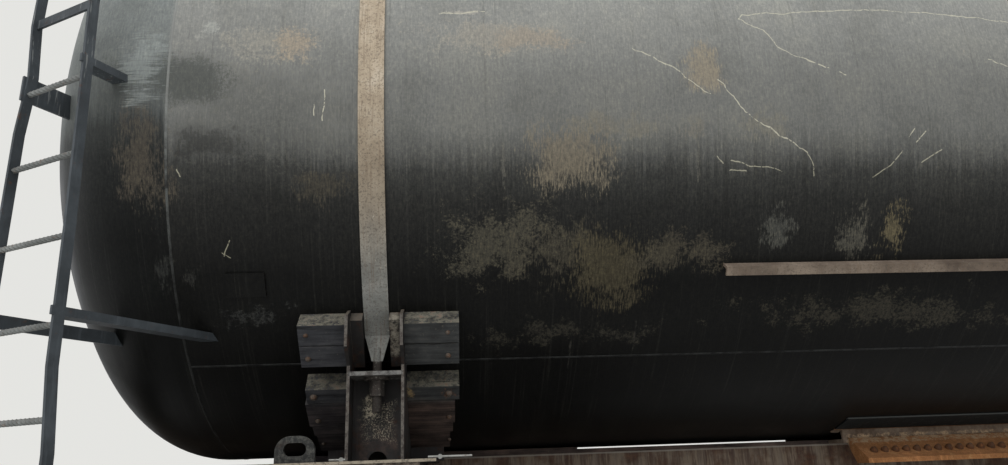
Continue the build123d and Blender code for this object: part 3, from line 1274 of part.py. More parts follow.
for number, x in enumerate((-PIVOT_X - AXLE_X, -PIVOT_X + AXLE_X,
                            PIVOT_X - AXLE_X, PIVOT_X + AXLE_X)):
    with BuildPart() as axle_and_wheels:
        add(wheelset(x))
    save(axle_and_wheels, "wheelset_" + str(number + 1))
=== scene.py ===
import json
import math

import bmesh
import bpy
from mathutils import Matrix, Vector


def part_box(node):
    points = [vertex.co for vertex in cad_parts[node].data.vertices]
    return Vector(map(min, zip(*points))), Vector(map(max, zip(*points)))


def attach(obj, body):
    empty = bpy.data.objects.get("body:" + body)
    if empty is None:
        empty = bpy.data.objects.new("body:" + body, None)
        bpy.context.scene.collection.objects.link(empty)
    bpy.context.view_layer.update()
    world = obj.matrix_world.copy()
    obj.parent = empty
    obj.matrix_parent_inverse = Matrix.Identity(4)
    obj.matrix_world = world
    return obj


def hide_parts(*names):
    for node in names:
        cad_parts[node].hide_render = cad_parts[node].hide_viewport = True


bl_info = {
    "name": "Railway tank car looks",
    "version": (1, 0, 0),
    "blender": (4, 5, 0),
    "location": "View3D > Sidebar > Tank Car",
    "description": "Finishes, fittings and a plain studio for the packed railway tank car",
    "category": "Object",
}

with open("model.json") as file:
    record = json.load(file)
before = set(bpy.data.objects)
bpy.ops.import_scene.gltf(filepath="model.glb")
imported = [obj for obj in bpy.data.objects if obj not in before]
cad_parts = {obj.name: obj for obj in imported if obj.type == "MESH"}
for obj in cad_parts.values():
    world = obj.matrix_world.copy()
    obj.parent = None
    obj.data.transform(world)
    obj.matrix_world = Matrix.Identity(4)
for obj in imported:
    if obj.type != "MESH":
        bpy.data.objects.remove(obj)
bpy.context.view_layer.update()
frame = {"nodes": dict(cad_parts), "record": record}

# Sizes and places in metres, read from the frame where a node shows them
TANK_LOW, TANK_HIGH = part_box("tank_barrel")
TANK_R = (TANK_HIGH.z - TANK_LOW.z) / 2
TANK_AXIS_Z = (TANK_HIGH.z + TANK_LOW.z) / 2
SEAM_X = TANK_HIGH.x
DOME_EDGE = (SEAM_X - 0.01, SEAM_X + 0.02)
STRAP_LOW, STRAP_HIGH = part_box("tank_straps")
STRAP_HALF = 0.05
PIVOT_X = STRAP_HIGH.x - STRAP_HALF
WHEEL_LOW, WHEEL_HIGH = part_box("wheelset_1")
AXLE_X = -(WHEEL_LOW.x + WHEEL_HIGH.x) / 2 - PIVOT_X
AXLE_Z = (WHEEL_LOW.z + WHEEL_HIGH.z) / 2
WHEEL_FLANGE = 0.028
TREAD_R = AXLE_Z - WHEEL_FLANGE
COVER_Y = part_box("axle_boxes_front")[1].y
COVER_BOLT_R = 0.108
COVER_RING_UP = 0.008
SADDLE_LOW, SADDLE_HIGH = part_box("tank_saddles")
SADDLE_HALF_X = SADDLE_HIGH.x - PIVOT_X
DECK_TOP_Z = SADDLE_LOW.z
FACE_Y = 1.013
TIMBER_OUT = 0.0923
TIMBER_BOLT_X = (0.285, -0.270)
ROD_Y = 1.0744
ROD_R = 0.018
ROD_LOW_Z = STRAP_LOW.z
NUT_LOW_Z = 1.468
SHELF_TOP_Z = 1.559
FOOT_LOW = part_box("anchor_feet")[0]
FOOT_FLANGE_HALF = 1.603
FOOT_KNEE_Y = 0.342
FOOT_KNEE_Z = 1.262
FOOT_TOE_Z = 1.158
RIVET_R = 0.0185
RIVET_UP = 0.022
PIN_Y = 1.215
PIN_R = 0.0042
PIN_APART = 0.0045
SPRING_TOP_Z = 0.548
NECK_TOP_Z = TANK_HIGH.z + 0.190
NECK_OUT_R = 0.297
LID_RIM_UP = 0.026
LID_BOLT_RING = 0.309
VALVE_X = 0.820
VALVE_FOOT_R = 0.078
VALVE_FLANGE_Z = TANK_HIGH.z + 0.085
VALVE_BOLT_RING = 0.099
SILL_LOW, SILL_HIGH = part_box("centre_sill")
SILL_TOP_Z = SILL_HIGH.z
SILL_OUT_Y = 0.187
# Packing strips: near end, far end and top
PACKING = ((-4.45, -2.96, TANK_LOW.z - 0.0005), (-2.96, -0.20, TANK_LOW.z - 0.010))
PACKING_WIDE = 0.06
OUTLET_FLANGE_Z = SILL_LOW.z - 0.034
OUTLET_BOLT_RING = 0.123
CYLINDER_COVER = (1.573, 0.430, 0.738)
CYLINDER_BOLT_RING = 0.187
GRATING_BAR = 0.005
GRATING_STRIP_HALF = 0.002
GRATING_ROD_HALF = 0.003
FLOOR_HALF = 400.0
LAMP_ACROSS = 12.0
LAMP_AIM_Z = 2.0

# Heights on the round tank, in degrees above its middle line
PLATE_SEAMS = (-50.0, 48.0)
OPEN_TIMBER_TOPS = (-40.6, -52.2)
# Timber bolts: degrees, and share of the full size
TIMBER_BOLTS = ((-42.2, 0.7), (-46.2, 0.85), (-53.7, 1.15), (-59.4, 0.9), (-66.3, 0.7))

# Share of the way from the anchor foot's knee to its toe
RIVET_ROW_SHARE = 0.68
# Lamps: name, place and power in watts
LAMPS = (("key_lamp", (-9.0, -13.0, 12.0), 900.0), ("fill_lamp", (10.0, 12.0, 11.0), 500.0))
SHARP_DEGREES = 35.0
SUBPARTS = {part["node"]: part["material_slot"] for part in frame["record"]["subparts"]}


class Value:
    """One output of a shader node. Arithmetic on it adds Math nodes."""

    def __init__(self, shades, socket):
        self.shades = shades
        self.socket = socket

    def __add__(self, other):
        return self.shades.math("ADD", self, other)

    def __sub__(self, other):
        return self.shades.math("SUBTRACT", self, other)

    def __rsub__(self, other):
        return self.shades.math("SUBTRACT", other, self)

    def __mul__(self, other):
        return self.shades.math("MULTIPLY", self, other)

    def __truediv__(self, other):
        return self.shades.math("DIVIDE", self, other)

    def __pow__(self, other):
        return self.shades.math("POWER", self, other)

    def __abs__(self):
        return self.shades.math("ABSOLUTE", self)

    def __neg__(self):
        return self * -1.0

    def clamp(self):
        """The value kept between 0 and 1."""
        return self.shades.math("ADD", self, 0.0, clamp=True)

    def fade(self, low, high):
        """A smooth change from 0 at the low value to 1 at the high one."""
        values = {0: self, 1: low, 2: high, 3: 0.0, 4: 1.0}
        return self.shades.output("MapRange", values, interpolation_type="SMOOTHSTEP")

    def coat(self, amount, colour, mode="MIX"):
        """This colour with another one laid over it."""
        return self.shades.blend(amount, self, colour, mode)


class Shades:
    """Adds shader nodes to one node tree and joins them."""

    def __init__(self, tree, surface=None):
        self.tree = tree
        self.surface = surface
        self.object_place = None

    def node(self, kind, values, **settings):
        made = self.tree.nodes.new("ShaderNode" + kind)
        for name, value in settings.items():
            setattr(made, name, value)
        for name, value in values.items():
            self.feed(made.inputs[name], value)
        return made

    def output(self, kind, values, which=0, **settings):
        return Value(self, self.node(kind, values, **settings).outputs[which])

    def feed(self, socket, value):
        if isinstance(value, Value):
            self.tree.links.new(value.socket, socket)
        else:
            socket.default_value = value

    def place(self):
        """The point on the surface, in metres of the car's own frame."""
        if self.object_place is None:
            self.object_place = self.output("TexCoord", {}, "Object")
        return self.object_place

    def split(self, vector):
        return [Value(self, part) for part in self.node("SeparateXYZ", {0: vector}).outputs]

    def here(self):
        return self.split(self.place())

    def normal(self):
        return self.split(self.output("NewGeometry", {}, "Normal"))

    def join(self, x, y, z):
        return self.output("CombineXYZ", {0: x, 1: y, 2: z})

    def math(self, operation, *values, clamp=False):
        return self.output("Math", dict(enumerate(values)), operation=operation, use_clamp=clamp)

    def vector(self, operation, *values):
        which = "Value" if operation in ("DOT_PRODUCT", "DISTANCE") else 0
        return self.output("VectorMath", dict(enumerate(values)), which, operation=operation)

    def noise(self, scale, detail, roughness, at=None):
        values = {"Vector": at or self.place(), "Scale": scale, "Detail": detail, "Roughness": roughness}
        return self.output("TexNoise", values)

    def blend(self, amount, first, second, mode="MIX"):
        colours = [value + (1.0,) if isinstance(value, tuple) else value for value in (first, second)]
        values = {0: amount, 6: colours[0], 7: colours[1]}
        return self.output("Mix", values, 2, data_type="RGBA", blend_type=mode, clamp_factor=True)

    def ramp(self, value, stops):
        made = self.node("ValToRGB", {0: value})
        elements = made.color_ramp.elements
        while len(elements) > 1:
            elements.remove(elements[-1])
        for index, (position, colour) in enumerate(stops):
            element = elements[0] if index == 0 else elements.new(position)
            element.position = position
            element.color = colour + (1.0,)
        return Value(self, made.outputs[0])

    def effect(self, name, *values):
        """One of the shared effects, with its values in the order of its own inputs."""
        return self.output("Group", dict(enumerate(values)), node_tree=bpy.data.node_groups[name])

    def finish(self, colour, roughness, height, strength, distance):
        """Feed the surface its colour, its roughness and its bumps."""
        self.feed(self.surface["Base Color"], colour)
        self.feed(self.surface["Roughness"], roughness)
        values = {"Height": height, "Strength": strength, "Distance": distance}
        self.feed(self.surface["Normal"], self.output("Bump", values))


def new_effect(name, inputs, kind="Float"):
    """An empty node group: its shades, its inputs and the socket for its result."""
    tree = bpy.data.node_groups.new(name, "ShaderNodeTree")
    for title, default in inputs.items():
        socket = tree.interface.new_socket(name=title, in_out="INPUT", socket_type="NodeSocketFloat")
        socket.default_value = default
    tree.interface.new_socket(name="Mask", in_out="OUTPUT", socket_type="NodeSocket" + kind)
    shades = Shades(tree)
    sockets = tree.nodes.new("NodeGroupInput").outputs
    given = [Value(shades, sockets[title]) for title in inputs]
    return shades, given, tree.nodes.new("NodeGroupOutput").inputs[0]


def round_place(shades):
    """Length along the tank, height angle in degrees, arc in metres, and a side mark.

    Both are counted from the photographed side, and the far side repeats it after half a turn."""
    x, y, z = shades.here()
    side = shades.math("SIGN", -y)
    angle = shades.math("ARCTAN2", z - TANK_AXIS_Z, abs(y))
    return x * side, shades.math("DEGREES", angle), angle * TANK_R, side


# Inputs of both kinds of streaks: how fine they are across and down, and where they fade in
STREAK_INPUTS = {"Across": 60.0, "Down": 2.5, "Low": 0.5, "High": 0.7}


def make_run_streaks():
    """Dirt that ran down the round side in thin lines."""
    shades, (across, down, low, high), out = new_effect("Run streaks", STREAK_INPUTS)
    along, degrees, arc, side = round_place(shades)
    point = shades.join(along * across, arc * down, side * 7.3)
    shades.feed(out, shades.noise(1.0, 3.0, 0.65, point).fade(low, high))


def make_drop_streaks():
    """Dirt that ran straight down an upright face."""
    shades, (across, down, low, high), out = new_effect("Drop streaks", STREAK_INPUTS)
    x, y, z = shades.here()
    point = shades.join(x * across, y * across, z * down)
    shades.feed(out, shades.noise(1.0, 3.0, 0.65, point).fade(low, high))


def make_mottle():
    """Irregular spots of one size, from few to many."""
    shades, (scale, low, high, grain), out = new_effect("Mottle", {
        "Scale": 12.0, "Low": 0.5, "High": 0.6, "Grain": 0.7})
    shades.feed(out, shades.noise(scale, 6.0, grain).fade(low, high))


def make_side_patch():
    """A ragged worn patch on the round side, given by its middle and half sizes.

    The grain breaks the patch up, and the wide noise makes its outline wander."""
    shades, given, out = new_effect("Side patch", {
        "Along": 0.0, "Degrees": 0.0, "Half length": 0.3, "Half height": 4.0, "Ragged": 0.5,
        "Sparse": 0.0, "Grain": 0.5, "Wide": 0.5})
    middle, level, half_length, half_height, ragged, sparse, grain, wide = given
    along, degrees, arc, side = round_place(shades)
    across = abs((along - middle) / half_length) ** 3.0
    up = abs((degrees - level) / half_height) ** 3.0
    reach = (across + up) ** (1.0 / 3.0)
    inside = ((1.0 - reach) / 0.9 + (wide - 0.5) * ragged * 3.0).clamp()
    amount = (grain - 0.5) * 2.2 + inside - sparse
    shades.feed(out, amount.fade(0.25, 0.75) * inside.fade(0.02, 0.22))


def make_region():
    """A soft-edged box, given by its middle and half sizes, repeated at the car's other corners."""
    shades, given, out = new_effect("Region", {
        "X": 0.0, "Y": 0.0, "Z": 0.0, "Half x": 0.1, "Half y": 0.1, "Half z": 0.1, "Soft": 0.02})
    soft = given[6]
    x, y, z = shades.here()
    inside = 100.0
    for value, centre, half in zip((abs(x), abs(y), z), given[:3], given[3:6]):
        inside = shades.math("MINIMUM", inside, half - abs(value - centre))
    wander = shades.noise(24.0, 5.0, 0.7) - 0.5
    shades.feed(out, (wander * 3.0 + inside / soft).fade(0.0, 1.0))


# Lines scraped through the paint of the photographed side.
# Each is a run of points: metres along the car, degrees above the tank's middle.
SCRATCHES = (
    ((-2.37, 6.8), (-2.39, 5.9), (-2.37, 6.8), (-2.17, 7.2), (-1.86, 8.1), (-1.53, 7.4), (-1.20, 5.8)),
    ((-2.39, 5.9), (-2.29, 3.8), (-2.24, 0.8), (-2.16, -1.0), (-2.09, -1.9)),
    ((-2.08, -2.2), (-2.04, -2.8)),
    ((-2.00, -3.6), (-1.97, -4.0)),
    ((-2.51, -4.8), (-2.41, -10.0), (-2.36, -11.6), (-2.22, -14.5), (-2.16, -16.4), (-2.13, -18.3),
     (-2.13, -19.9)),
    ((-2.48, -17.7), (-2.26, -19.0)),
    ((-2.48, -19.0), (-2.41, -19.0)),
    ((-1.88, -20.1), (-1.81, -18.5), (-1.75, -16.0)),
    ((-1.73, -14.1), (-1.70, -12.7)),
    ((-1.70, -15.0), (-1.65, -13.0)),
    ((-1.67, -17.8), (-1.59, -16.1)),
    ((-2.53, -16.8), (-2.51, -18.0)),
    ((-1.34, -1.3), (-1.15, -3.9)),
    ((-2.85, 0.5), (-2.72, -2.1), (-2.55, -7.2)),
    ((-3.63, 6.5), (-3.45, 6.9)),
    ((-4.08, -6.6), (-4.078, -9.0), (-4.085, -11.2)),
    ((-4.12, -8.8), (-4.122, -10.6)),
    ((-4.47, -31.0), (-4.455, -29.4), (-4.452, -28.9)),
    ((-4.478, -30.4), (-4.46, -30.9), (-4.448, -31.3)),
    ((-4.63, -18.3), (-4.622, -18.8), (-4.618, -19.3)),
)


def make_scratches():
    """The scraped lines, as a mask of the distance to the nearest one."""
    shades, (half_width,), out = new_effect("Scratches", {"Half width": 0.002})
    x, y, z = shades.here()
    angle = shades.math("ARCTAN2", z - TANK_AXIS_Z, -y)
    bend = (shades.noise(14.0, 2.0, 0.5) - 0.5) * 0.03
    flat = shades.join(x + bend, angle * TANK_R + bend, 0.0)
    nearest = 1.0
    for run in SCRATCHES:
        for (x_1, deg_1), (x_2, deg_2) in zip(run, run[1:]):
            start = Vector((x_1, math.radians(deg_1) * TANK_R, 0.0))
            reach = Vector((x_2, math.radians(deg_2) * TANK_R, 0.0)) - start
            pull = reach / reach.length_squared
            part = shades.math("SUBTRACT", shades.vector("DOT_PRODUCT", flat, tuple(pull)), start.dot(pull),
                               clamp=True)
            point = shades.vector("MULTIPLY_ADD", part, tuple(reach), tuple(start))
            nearest = shades.math("MINIMUM", nearest, shades.vector("DISTANCE", flat, point))
    worn = shades.noise(90.0, 3.0, 0.6).fade(0.34, 0.5)
    shades.feed(out, (nearest / half_width).fade(1.7, 0.6) * worn)


def make_rust():
    """Rust that creeps out in patches, from pale orange to dark brown."""
    shades, (scale, dark), out = new_effect("Rust colour", {"Scale": 18.0, "Dark": 0.5}, "Color")
    wide, fine = shades.noise(scale, 6.0, 0.7), shades.noise(scale * 9.0, 4.0, 0.7)
    shades.feed(out, shades.ramp(fine * 0.5 + wide * 0.6 - dark * 0.2, (
        (0.25, (0.022, 0.012, 0.008)), (0.40, (0.075, 0.030, 0.014)), (0.52, (0.16, 0.062, 0.022)),
        (0.64, (0.28, 0.125, 0.046)), (0.80, (0.42, 0.25, 0.12)))))


EFFECTS = (make_run_streaks, make_drop_streaks, make_mottle, make_side_patch, make_region,
           make_scratches, make_rust)


def new_material(name, specular=0.2, metallic=0.0):
    """The shades of a fresh material, in place of the plain one that the frame brought along."""
    plain = bpy.data.materials.get(name)
    if plain:
        bpy.data.materials.remove(plain)
    material = bpy.data.materials.new(name)
    material.use_nodes = True
    surface = material.node_tree.nodes["Principled BSDF"].inputs
    surface["Metallic"].default_value = metallic
    surface["Specular IOR Level"].default_value = specular
    return Shades(material.node_tree, surface)


# Dust film and painted sky reflection on the tank: degrees above its middle line, and how pale the surface
# is there
DUST_AND_SKY_SHEEN = (
    (-90.0, 0.003), (-60.0, 0.004), (-50.0, 0.004), (-43.0, 0.007), (-36.0, 0.006), (-30.0, 0.013),
    (-24.0, 0.022), (-19.5, 0.045), (-16.0, 0.115), (-13.0, 0.165), (-5.0, 0.190), (2.0, 0.245),
    (10.0, 0.300), (30.0, 0.290), (90.0, 0.260),
)
DUST_AND_SHEEN_TINT = (1.0, 1.01, 0.95)

# Worn patches on the tank's side: metres along, degrees, half length, half height in degrees,
# raggedness, sparseness, colour, strength
GRANULAR_PATCHES = (
    (-3.40, 2.5, 0.44, 4.6, 0.7, 0.08, (0.36, 0.325, 0.265), 0.42),
    (-3.24, 2.0, 0.24, 3.6, 0.7, 0.10, (0.32, 0.265, 0.205), 0.42),
    (-3.54, 6.7, 0.12, 0.6, 0.3, 0.15, (0.45, 0.42, 0.36), 0.60),
    (-3.38, -29.0, 0.38, 8.6, 0.9, 0.18, (0.086, 0.079, 0.059), 0.65),
    (-3.12, -45.2, 0.75, 4.5, 1.2, 0.40, (0.040, 0.037, 0.029), 0.70),
    (-4.31, 1.1, 0.26, 5.6, 0.7, 0.14, (0.33, 0.31, 0.26), 0.50),
    (-4.21, 1.0, 0.12, 4.4, 0.6, 0.12, (0.36, 0.29, 0.21), 0.55),
    (-4.52, 3.6, 0.045, 1.7, 0.8, 0.10, (0.38, 0.39, 0.36), 0.50),
    (-4.56, 1.9, 0.045, 1.1, 0.9, 0.30, (0.40, 0.40, 0.36), 0.40),
    (-1.75, -42.0, 0.85, 5.5, 1.1, 0.30, (0.044, 0.040, 0.030), 0.75),
    (-2.62, -31.5, 0.36, 4.6, 1.1, 0.30, (0.066, 0.058, 0.043), 0.70),
    (-0.85, 1.5, 0.60, 4.5, 1.1, 0.18, (0.33, 0.30, 0.24), 0.45),
    (3.10, -2.0, 0.60, 4.5, 1.1, 0.16, (0.31, 0.27, 0.20), 0.50),
    (2.70, 22.0, 1.00, 9.0, 1.2, 0.20, (0.35, 0.32, 0.26), 0.40),
    (-1.20, 30.0, 1.10, 12.0, 1.2, 0.20, (0.35, 0.33, 0.28), 0.40),
    (1.30, 8.0, 0.50, 4.5, 1.2, 0.18, (0.36, 0.33, 0.26), 0.45),
    (-4.38, -41.0, 0.26, 4.0, 1.3, 0.45, (0.052, 0.054, 0.052), 0.55),
)
RUNNING_PATCHES = (
    (-3.12, -17.0, 0.240, 6.8, 0.5, 0.02, (0.190, 0.164, 0.122), 0.75),
    (-3.20, -31.0, 0.340, 7.8, 1.0, 0.20, (0.066, 0.059, 0.043), 0.65),
    (-2.96, -34.0, 0.220, 9.0, 0.5, 0.00, (0.068, 0.058, 0.036), 0.80),
    (-2.70, -32.4, 0.280, 3.6, 0.9, 0.18, (0.060, 0.053, 0.038), 0.75),
    (-2.56, -3.0, 0.120, 6.0, 0.7, 0.06, (0.31, 0.26, 0.185), 0.60),
    (-2.95, -12.0, 0.550, 3.6, 1.1, 0.28, (0.205, 0.185, 0.14), 0.40),
    (-4.06, -20.8, 0.200, 4.2, 0.9, 0.24, (0.064, 0.056, 0.042), 0.60),
    (-4.52, -14.4, 0.200, 3.2, 0.9, 0.10, (0.022, 0.022, 0.021), 0.55),
    (-4.76, -16.5, 0.150, 11.5, 0.8, 0.10, (0.092, 0.078, 0.060), 0.58),
    (-4.71, -34.0, 0.060, 5.8, 0.9, 0.30, (0.045, 0.047, 0.044), 0.50),
    (-4.61, -34.2, 0.060, 3.0, 0.9, 0.32, (0.048, 0.048, 0.044), 0.50),
    (-3.39, -18.0, 0.014, 6.5, 0.3, 0.20, (0.14, 0.135, 0.115), 0.50),
    (-2.61, -17.0, 0.014, 6.8, 0.3, 0.20, (0.14, 0.135, 0.115), 0.50),
    (-3.10, -48.3, 0.010, 6.5, 0.3, 0.30, (0.045, 0.043, 0.038), 0.55),
    (-2.83, -45.5, 0.010, 6.4, 0.3, 0.30, (0.045, 0.043, 0.038), 0.55),
    (-2.35, -12.0, 0.200, 4.0, 0.9, 0.20, (0.215, 0.20, 0.155), 0.45),
    (-1.95, -29.0, 0.120, 7.0, 1.0, 0.26, (0.110, 0.104, 0.084), 0.65),
    (-1.78, -28.5, 0.095, 8.0, 1.0, 0.20, (0.150, 0.126, 0.075), 0.70),
    (-2.28, -28.0, 0.120, 6.0, 1.0, 0.28, (0.100, 0.100, 0.088), 0.60),
    (0.60, -20.0, 0.600, 7.5, 1.1, 0.22, (0.12, 0.106, 0.080), 0.55),
    (1.80, -30.0, 0.750, 9.5, 1.1, 0.24, (0.066, 0.058, 0.043), 0.70),
    (4.20, -36.0, 0.400, 9.0, 1.1, 0.26, (0.056, 0.048, 0.036), 0.70),
)
DARK_BLOCKS = (
    (-4.60, -5.2, 0.210, 4.9, 0.35, -0.15, (0.060, 0.066, 0.060), 0.70),
    (-4.90, -5.5, 0.170, 6.0, 0.50, -0.10, (0.070, 0.075, 0.070), 0.60),
    (-4.28, -10.5, 0.440, 8.5, 0.60, -0.10, (0.095, 0.096, 0.088), 0.36),
)
BRUSHED_PATCHES = (
    (-4.78, -2.0, 0.160, 9.0, 0.60, 0.22, (0.27, 0.295, 0.285), 0.60),
    (-4.75, -7.6, 0.140, 2.4, 0.60, 0.20, (0.24, 0.26, 0.25), 0.60),
    (4.78, 6.0, 0.150, 8.0, 0.70, 0.42, (0.30, 0.32, 0.30), 0.60),
)
TIMBER_STAINS = (
    (-3.615, -53.7, 0.060, 2.0, 0.7, 0.20, (0.17, 0.085, 0.052), 0.75),
    (-3.776, -53.4, 0.024, 1.3, 0.6, 0.22, (0.36, 0.26, 0.13), 0.80),
)


def shade(colour, share):
    """A colour made darker or paler."""
    return tuple(value * share for value in colour)


def tank_dust_and_sheen(shades):
    """The paint's colour with its dust film and a painted sky reflection, from dark below to pale above."""
    low, high = DUST_AND_SKY_SHEEN[0][0], DUST_AND_SKY_SHEEN[-1][0]
    x, y, z = shades.here()
    rise = shades.math("MINIMUM", (z - TANK_AXIS_Z) / TANK_R, 1.0)
    degrees = shades.math("DEGREES", shades.math("ARCSINE", shades.math("MAXIMUM", rise, -1.0)))
    wide = shades.noise(1.6, 4.0, 0.6) - 0.5
    fine = shades.effect("Run streaks", 80.0, 1.2, 0.3, 0.75) - 0.5
    height = degrees + wide * 4.0 + fine * 1.8
    # Near the ends and on the heads the dust and the painted reflection begin higher up
    height = height - abs(x).fade(3.9, 4.4) * 1.8 - abs(x).fade(*DOME_EDGE) * 6.0
    stops = [((angle - low) / (high - low), shade(DUST_AND_SHEEN_TINT, value)) for angle, value in DUST_AND_SKY_SHEEN]
    return shades.ramp((height - low) / (high - low), stops)


def lay_patches(shades, colour, patches, grain, wide):
    """Worn patches over a colour, each broken up by the same grain."""
    for *shape, tint, strength in patches:
        colour = colour.coat(shades.effect("Side patch", *shape, grain, wide) * strength, tint)
    return colour


def make_tank_paint():
    """Glossy black paint with dust and a painted sky reflection above, run marks, worn patches and scraped
    lines.
    """
    shades = new_material("tank_paint", 0.12)
    along, degrees, arc, side = round_place(shades)
    above = degrees.fade(-22.0, -12.0)
    cloud = shades.noise(3.5, 6.0, 0.65)
    # The pale upper colour is dust with a painted sky reflection, under a cloudy mottle
    colour = tank_dust_and_sheen(shades).coat(0.5, shades.ramp(cloud, (
        (0.30, (0.66, 0.66, 0.64)), (0.50, (1.0, 1.0, 1.0)), (0.72, (1.28, 1.25, 1.17)))), "MULTIPLY")
    streak = shades.effect("Run streaks", 90.0, 1.1, 0.56, 0.72)
    colour = colour.coat(streak * (above * 0.06 + 0.03), (0.30, 0.29, 0.25))
    dark_run = shades.effect("Run streaks", 48.0, 0.9, 0.58, 0.74)
    colour = colour.coat(dark_run * 0.20, (0.03, 0.031, 0.029))
    colour = colour.coat(abs(along).fade(*DOME_EDGE), (0.92, 0.98, 1.01), "MULTIPLY")
    wide = shades.noise(9.0, 5.0, 0.7)
    specks = shades.noise(85.0, 5.0, 0.8)
    runs = shades.noise(1.0, 4.0, 0.75, shades.join(along * 150.0, arc * 26.0, side))
    strokes = shades.noise(1.0, 4.0, 0.7, shades.join(along * 9.0, arc * 130.0, side))
    for patches, grain in ((DARK_BLOCKS, specks), (GRANULAR_PATCHES, specks), (RUNNING_PATCHES, runs),
                           (BRUSHED_PATCHES, strokes)):
        colour = lay_patches(shades, colour, patches, grain, wide)
    colour = colour.coat(above * -0.50 + 0.95, shades.ramp((runs + specks) * 0.5, (
        (0.36, (0.50, 0.50, 0.50)), (0.50, (1.0, 1.0, 1.0)), (0.64, (1.85, 1.78, 1.58)))), "MULTIPLY")
    chips = shades.effect("Mottle", 34.0, 0.72, 0.76, 0.75)
    colour = colour.coat(chips * 0.5, (0.03, 0.027, 0.022))
    bare = shades.blend(above, (0.36, 0.34, 0.25), (0.62, 0.59, 0.46))
    colour = colour.coat(shades.effect("Scratches", 0.0017) * 0.85, bare)
    height = shades.noise(2.2, 2.0, 0.5) * 6.0 + shades.noise(160.0, 3.0, 0.6)
    shades.finish(colour, cloud * 0.30 + 0.30 + above * 0.15, height, 0.35, 0.001)


def make_weld_bead():
    """The tank's dust and painted sky reflection, paler on the raised beads with worn paint and a painted
    highlight, with rippled steel below.
    """
    shades = new_material("weld_bead")
    along, degrees, arc, side = round_place(shades)
    # Paler beads: worn paint with a painted highlight, stronger higher up
    worn = shades.effect("Mottle", 22.0, 0.34, 0.62, 0.7)
    pale = degrees.fade(-40.0, -10.0) * 0.30 + 0.075
    colour = tank_dust_and_sheen(shades).coat(worn * pale, (0.30, 0.32, 0.30))
    ripple = shades.noise(170.0, 2.0, 0.5)
    shades.finish(colour, ripple * 0.3 + 0.4, ripple, 0.8, 0.002)


def make_strap_paint():
    """Flaked tan paint above, grey and speckled below, rusty rods and brown side strips."""
    shades = new_material("strap_paint", 0.25)
    along, degrees, arc, side = round_place(shades)
    wide = shades.noise(6.0, 5.0, 0.65)
    tan = shades.ramp(wide, (
        (0.30, (0.33, 0.26, 0.185)), (0.50, (0.50, 0.41, 0.30)), (0.68, (0.60, 0.52, 0.41))))
    grey = shades.ramp(wide, (
        (0.32, (0.150, 0.152, 0.140)), (0.55, (0.235, 0.237, 0.218)), (0.72, (0.33, 0.325, 0.300))))
    brown = shades.ramp(wide, (
        (0.30, (0.110, 0.082, 0.062)), (0.50, (0.200, 0.155, 0.118)), (0.70, (0.30, 0.24, 0.185))))
    height = wide * 10.0 + degrees
    sooty = height.fade(-26.0, -16.0) * height.fade(2.0, -12.0)
    strip = abs(along).fade(3.2, 3.0)
    colour = grey.coat(height.fade(-33.0, -9.0), tan)
    colour = colour.coat(sooty * 0.40, (0.13, 0.10, 0.065)).coat(strip, brown)
    spots = shades.effect("Mottle", 120.0, 0.52, 0.60, 0.7)
    colour = colour.coat(spots * 0.50, (0.09, 0.075, 0.06))
    flakes = shades.effect("Mottle", 45.0, 0.60, 0.66, 0.8)
    colour = colour.coat(flakes * (strip * -0.25 + 0.5), (0.62, 0.57, 0.47))
    runs = shades.effect("Run streaks", 160.0, 5.0, 0.52, 0.68)
    colour = colour.coat(runs * 0.4, (0.17, 0.12, 0.08))
    rod = shades.effect("Region", PIVOT_X, ROD_Y, 1.50, 0.08, 0.08, 0.11, 0.01)
    rust = shades.effect("Rust colour", 34.0, 1.6).coat(0.6, (0.030, 0.026, 0.023))
    pale = shades.effect("Mottle", 90.0, 0.56, 0.62, 0.8)
    colour = colour.coat(rod * 0.92, rust).coat(rod * pale * 0.7, (0.26, 0.25, 0.21))
    shades.finish(colour, wide * 0.3 + 0.6, spots + flakes, 0.5, 0.0008)


def make_timber():
    """Old dark beams: grain along the car, moss and dust on their upper edges."""
    shades = new_material("timber", 0.15)
    x, y, z = shades.here()
    along, degrees, arc, side = round_place(shades)
    grain = shades.noise(1.0, 5.0, 0.65, shades.join(x * 4.0, y * 55.0, z * 55.0))
    wide = shades.noise(9.0, 4.0, 0.6)
    fine = shades.noise(90.0, 4.0, 0.7)
    lumps = shades.noise(26.0, 5.0, 0.75)
    tone = grain * 0.55 + wide * 0.45
    colour = shades.ramp(tone, (
        (0.34, (0.026, 0.026, 0.026)), (0.50, (0.052, 0.054, 0.054)), (0.66, (0.098, 0.096, 0.090))))
    red = shades.ramp(tone, (
        (0.36, (0.028, 0.020, 0.018)), (0.50, (0.066, 0.048, 0.041)), (0.66, (0.145, 0.100, 0.082))))
    blue = shades.ramp(tone, (
        (0.36, (0.028, 0.029, 0.034)), (0.52, (0.052, 0.053, 0.062)), (0.68, (0.095, 0.095, 0.105))))
    colour = colour.coat(degrees.fade(-54.5, -56.5), red).coat(along.fade(-4.0, -4.02) * 0.6, blue)
    open_top = 0.0
    for top in OPEN_TIMBER_TOPS:
        open_top = shades.math("MAXIMUM", open_top, abs(degrees - top).fade(0.9, 0.5))
    crumbs = (fine * 0.6 + lumps * 0.4).fade(0.40, 0.52)
    moss = shades.normal()[2].fade(0.25, 0.6) * (open_top * 0.75 + 0.15) * crumbs
    colour = colour.coat(moss, shades.ramp(lumps, (
        (0.34, (0.045, 0.042, 0.036)), (0.46, (0.12, 0.110, 0.085)), (0.56, (0.20, 0.190, 0.150)),
        (0.68, (0.25, 0.165, 0.120)))))
    specks = shades.effect("Mottle", 75.0, 0.60, 0.67, 0.85)
    colour = colour.coat(specks * 0.55, (0.20, 0.175, 0.135))
    colour = colour.coat(grain.fade(0.40, 0.30) * 0.7, (0.012, 0.011, 0.010))
    colour = lay_patches(shades, colour, TIMBER_STAINS, fine, wide)
    shades.finish(colour, grain * 0.3 + 0.68, grain, 0.8, 0.004)


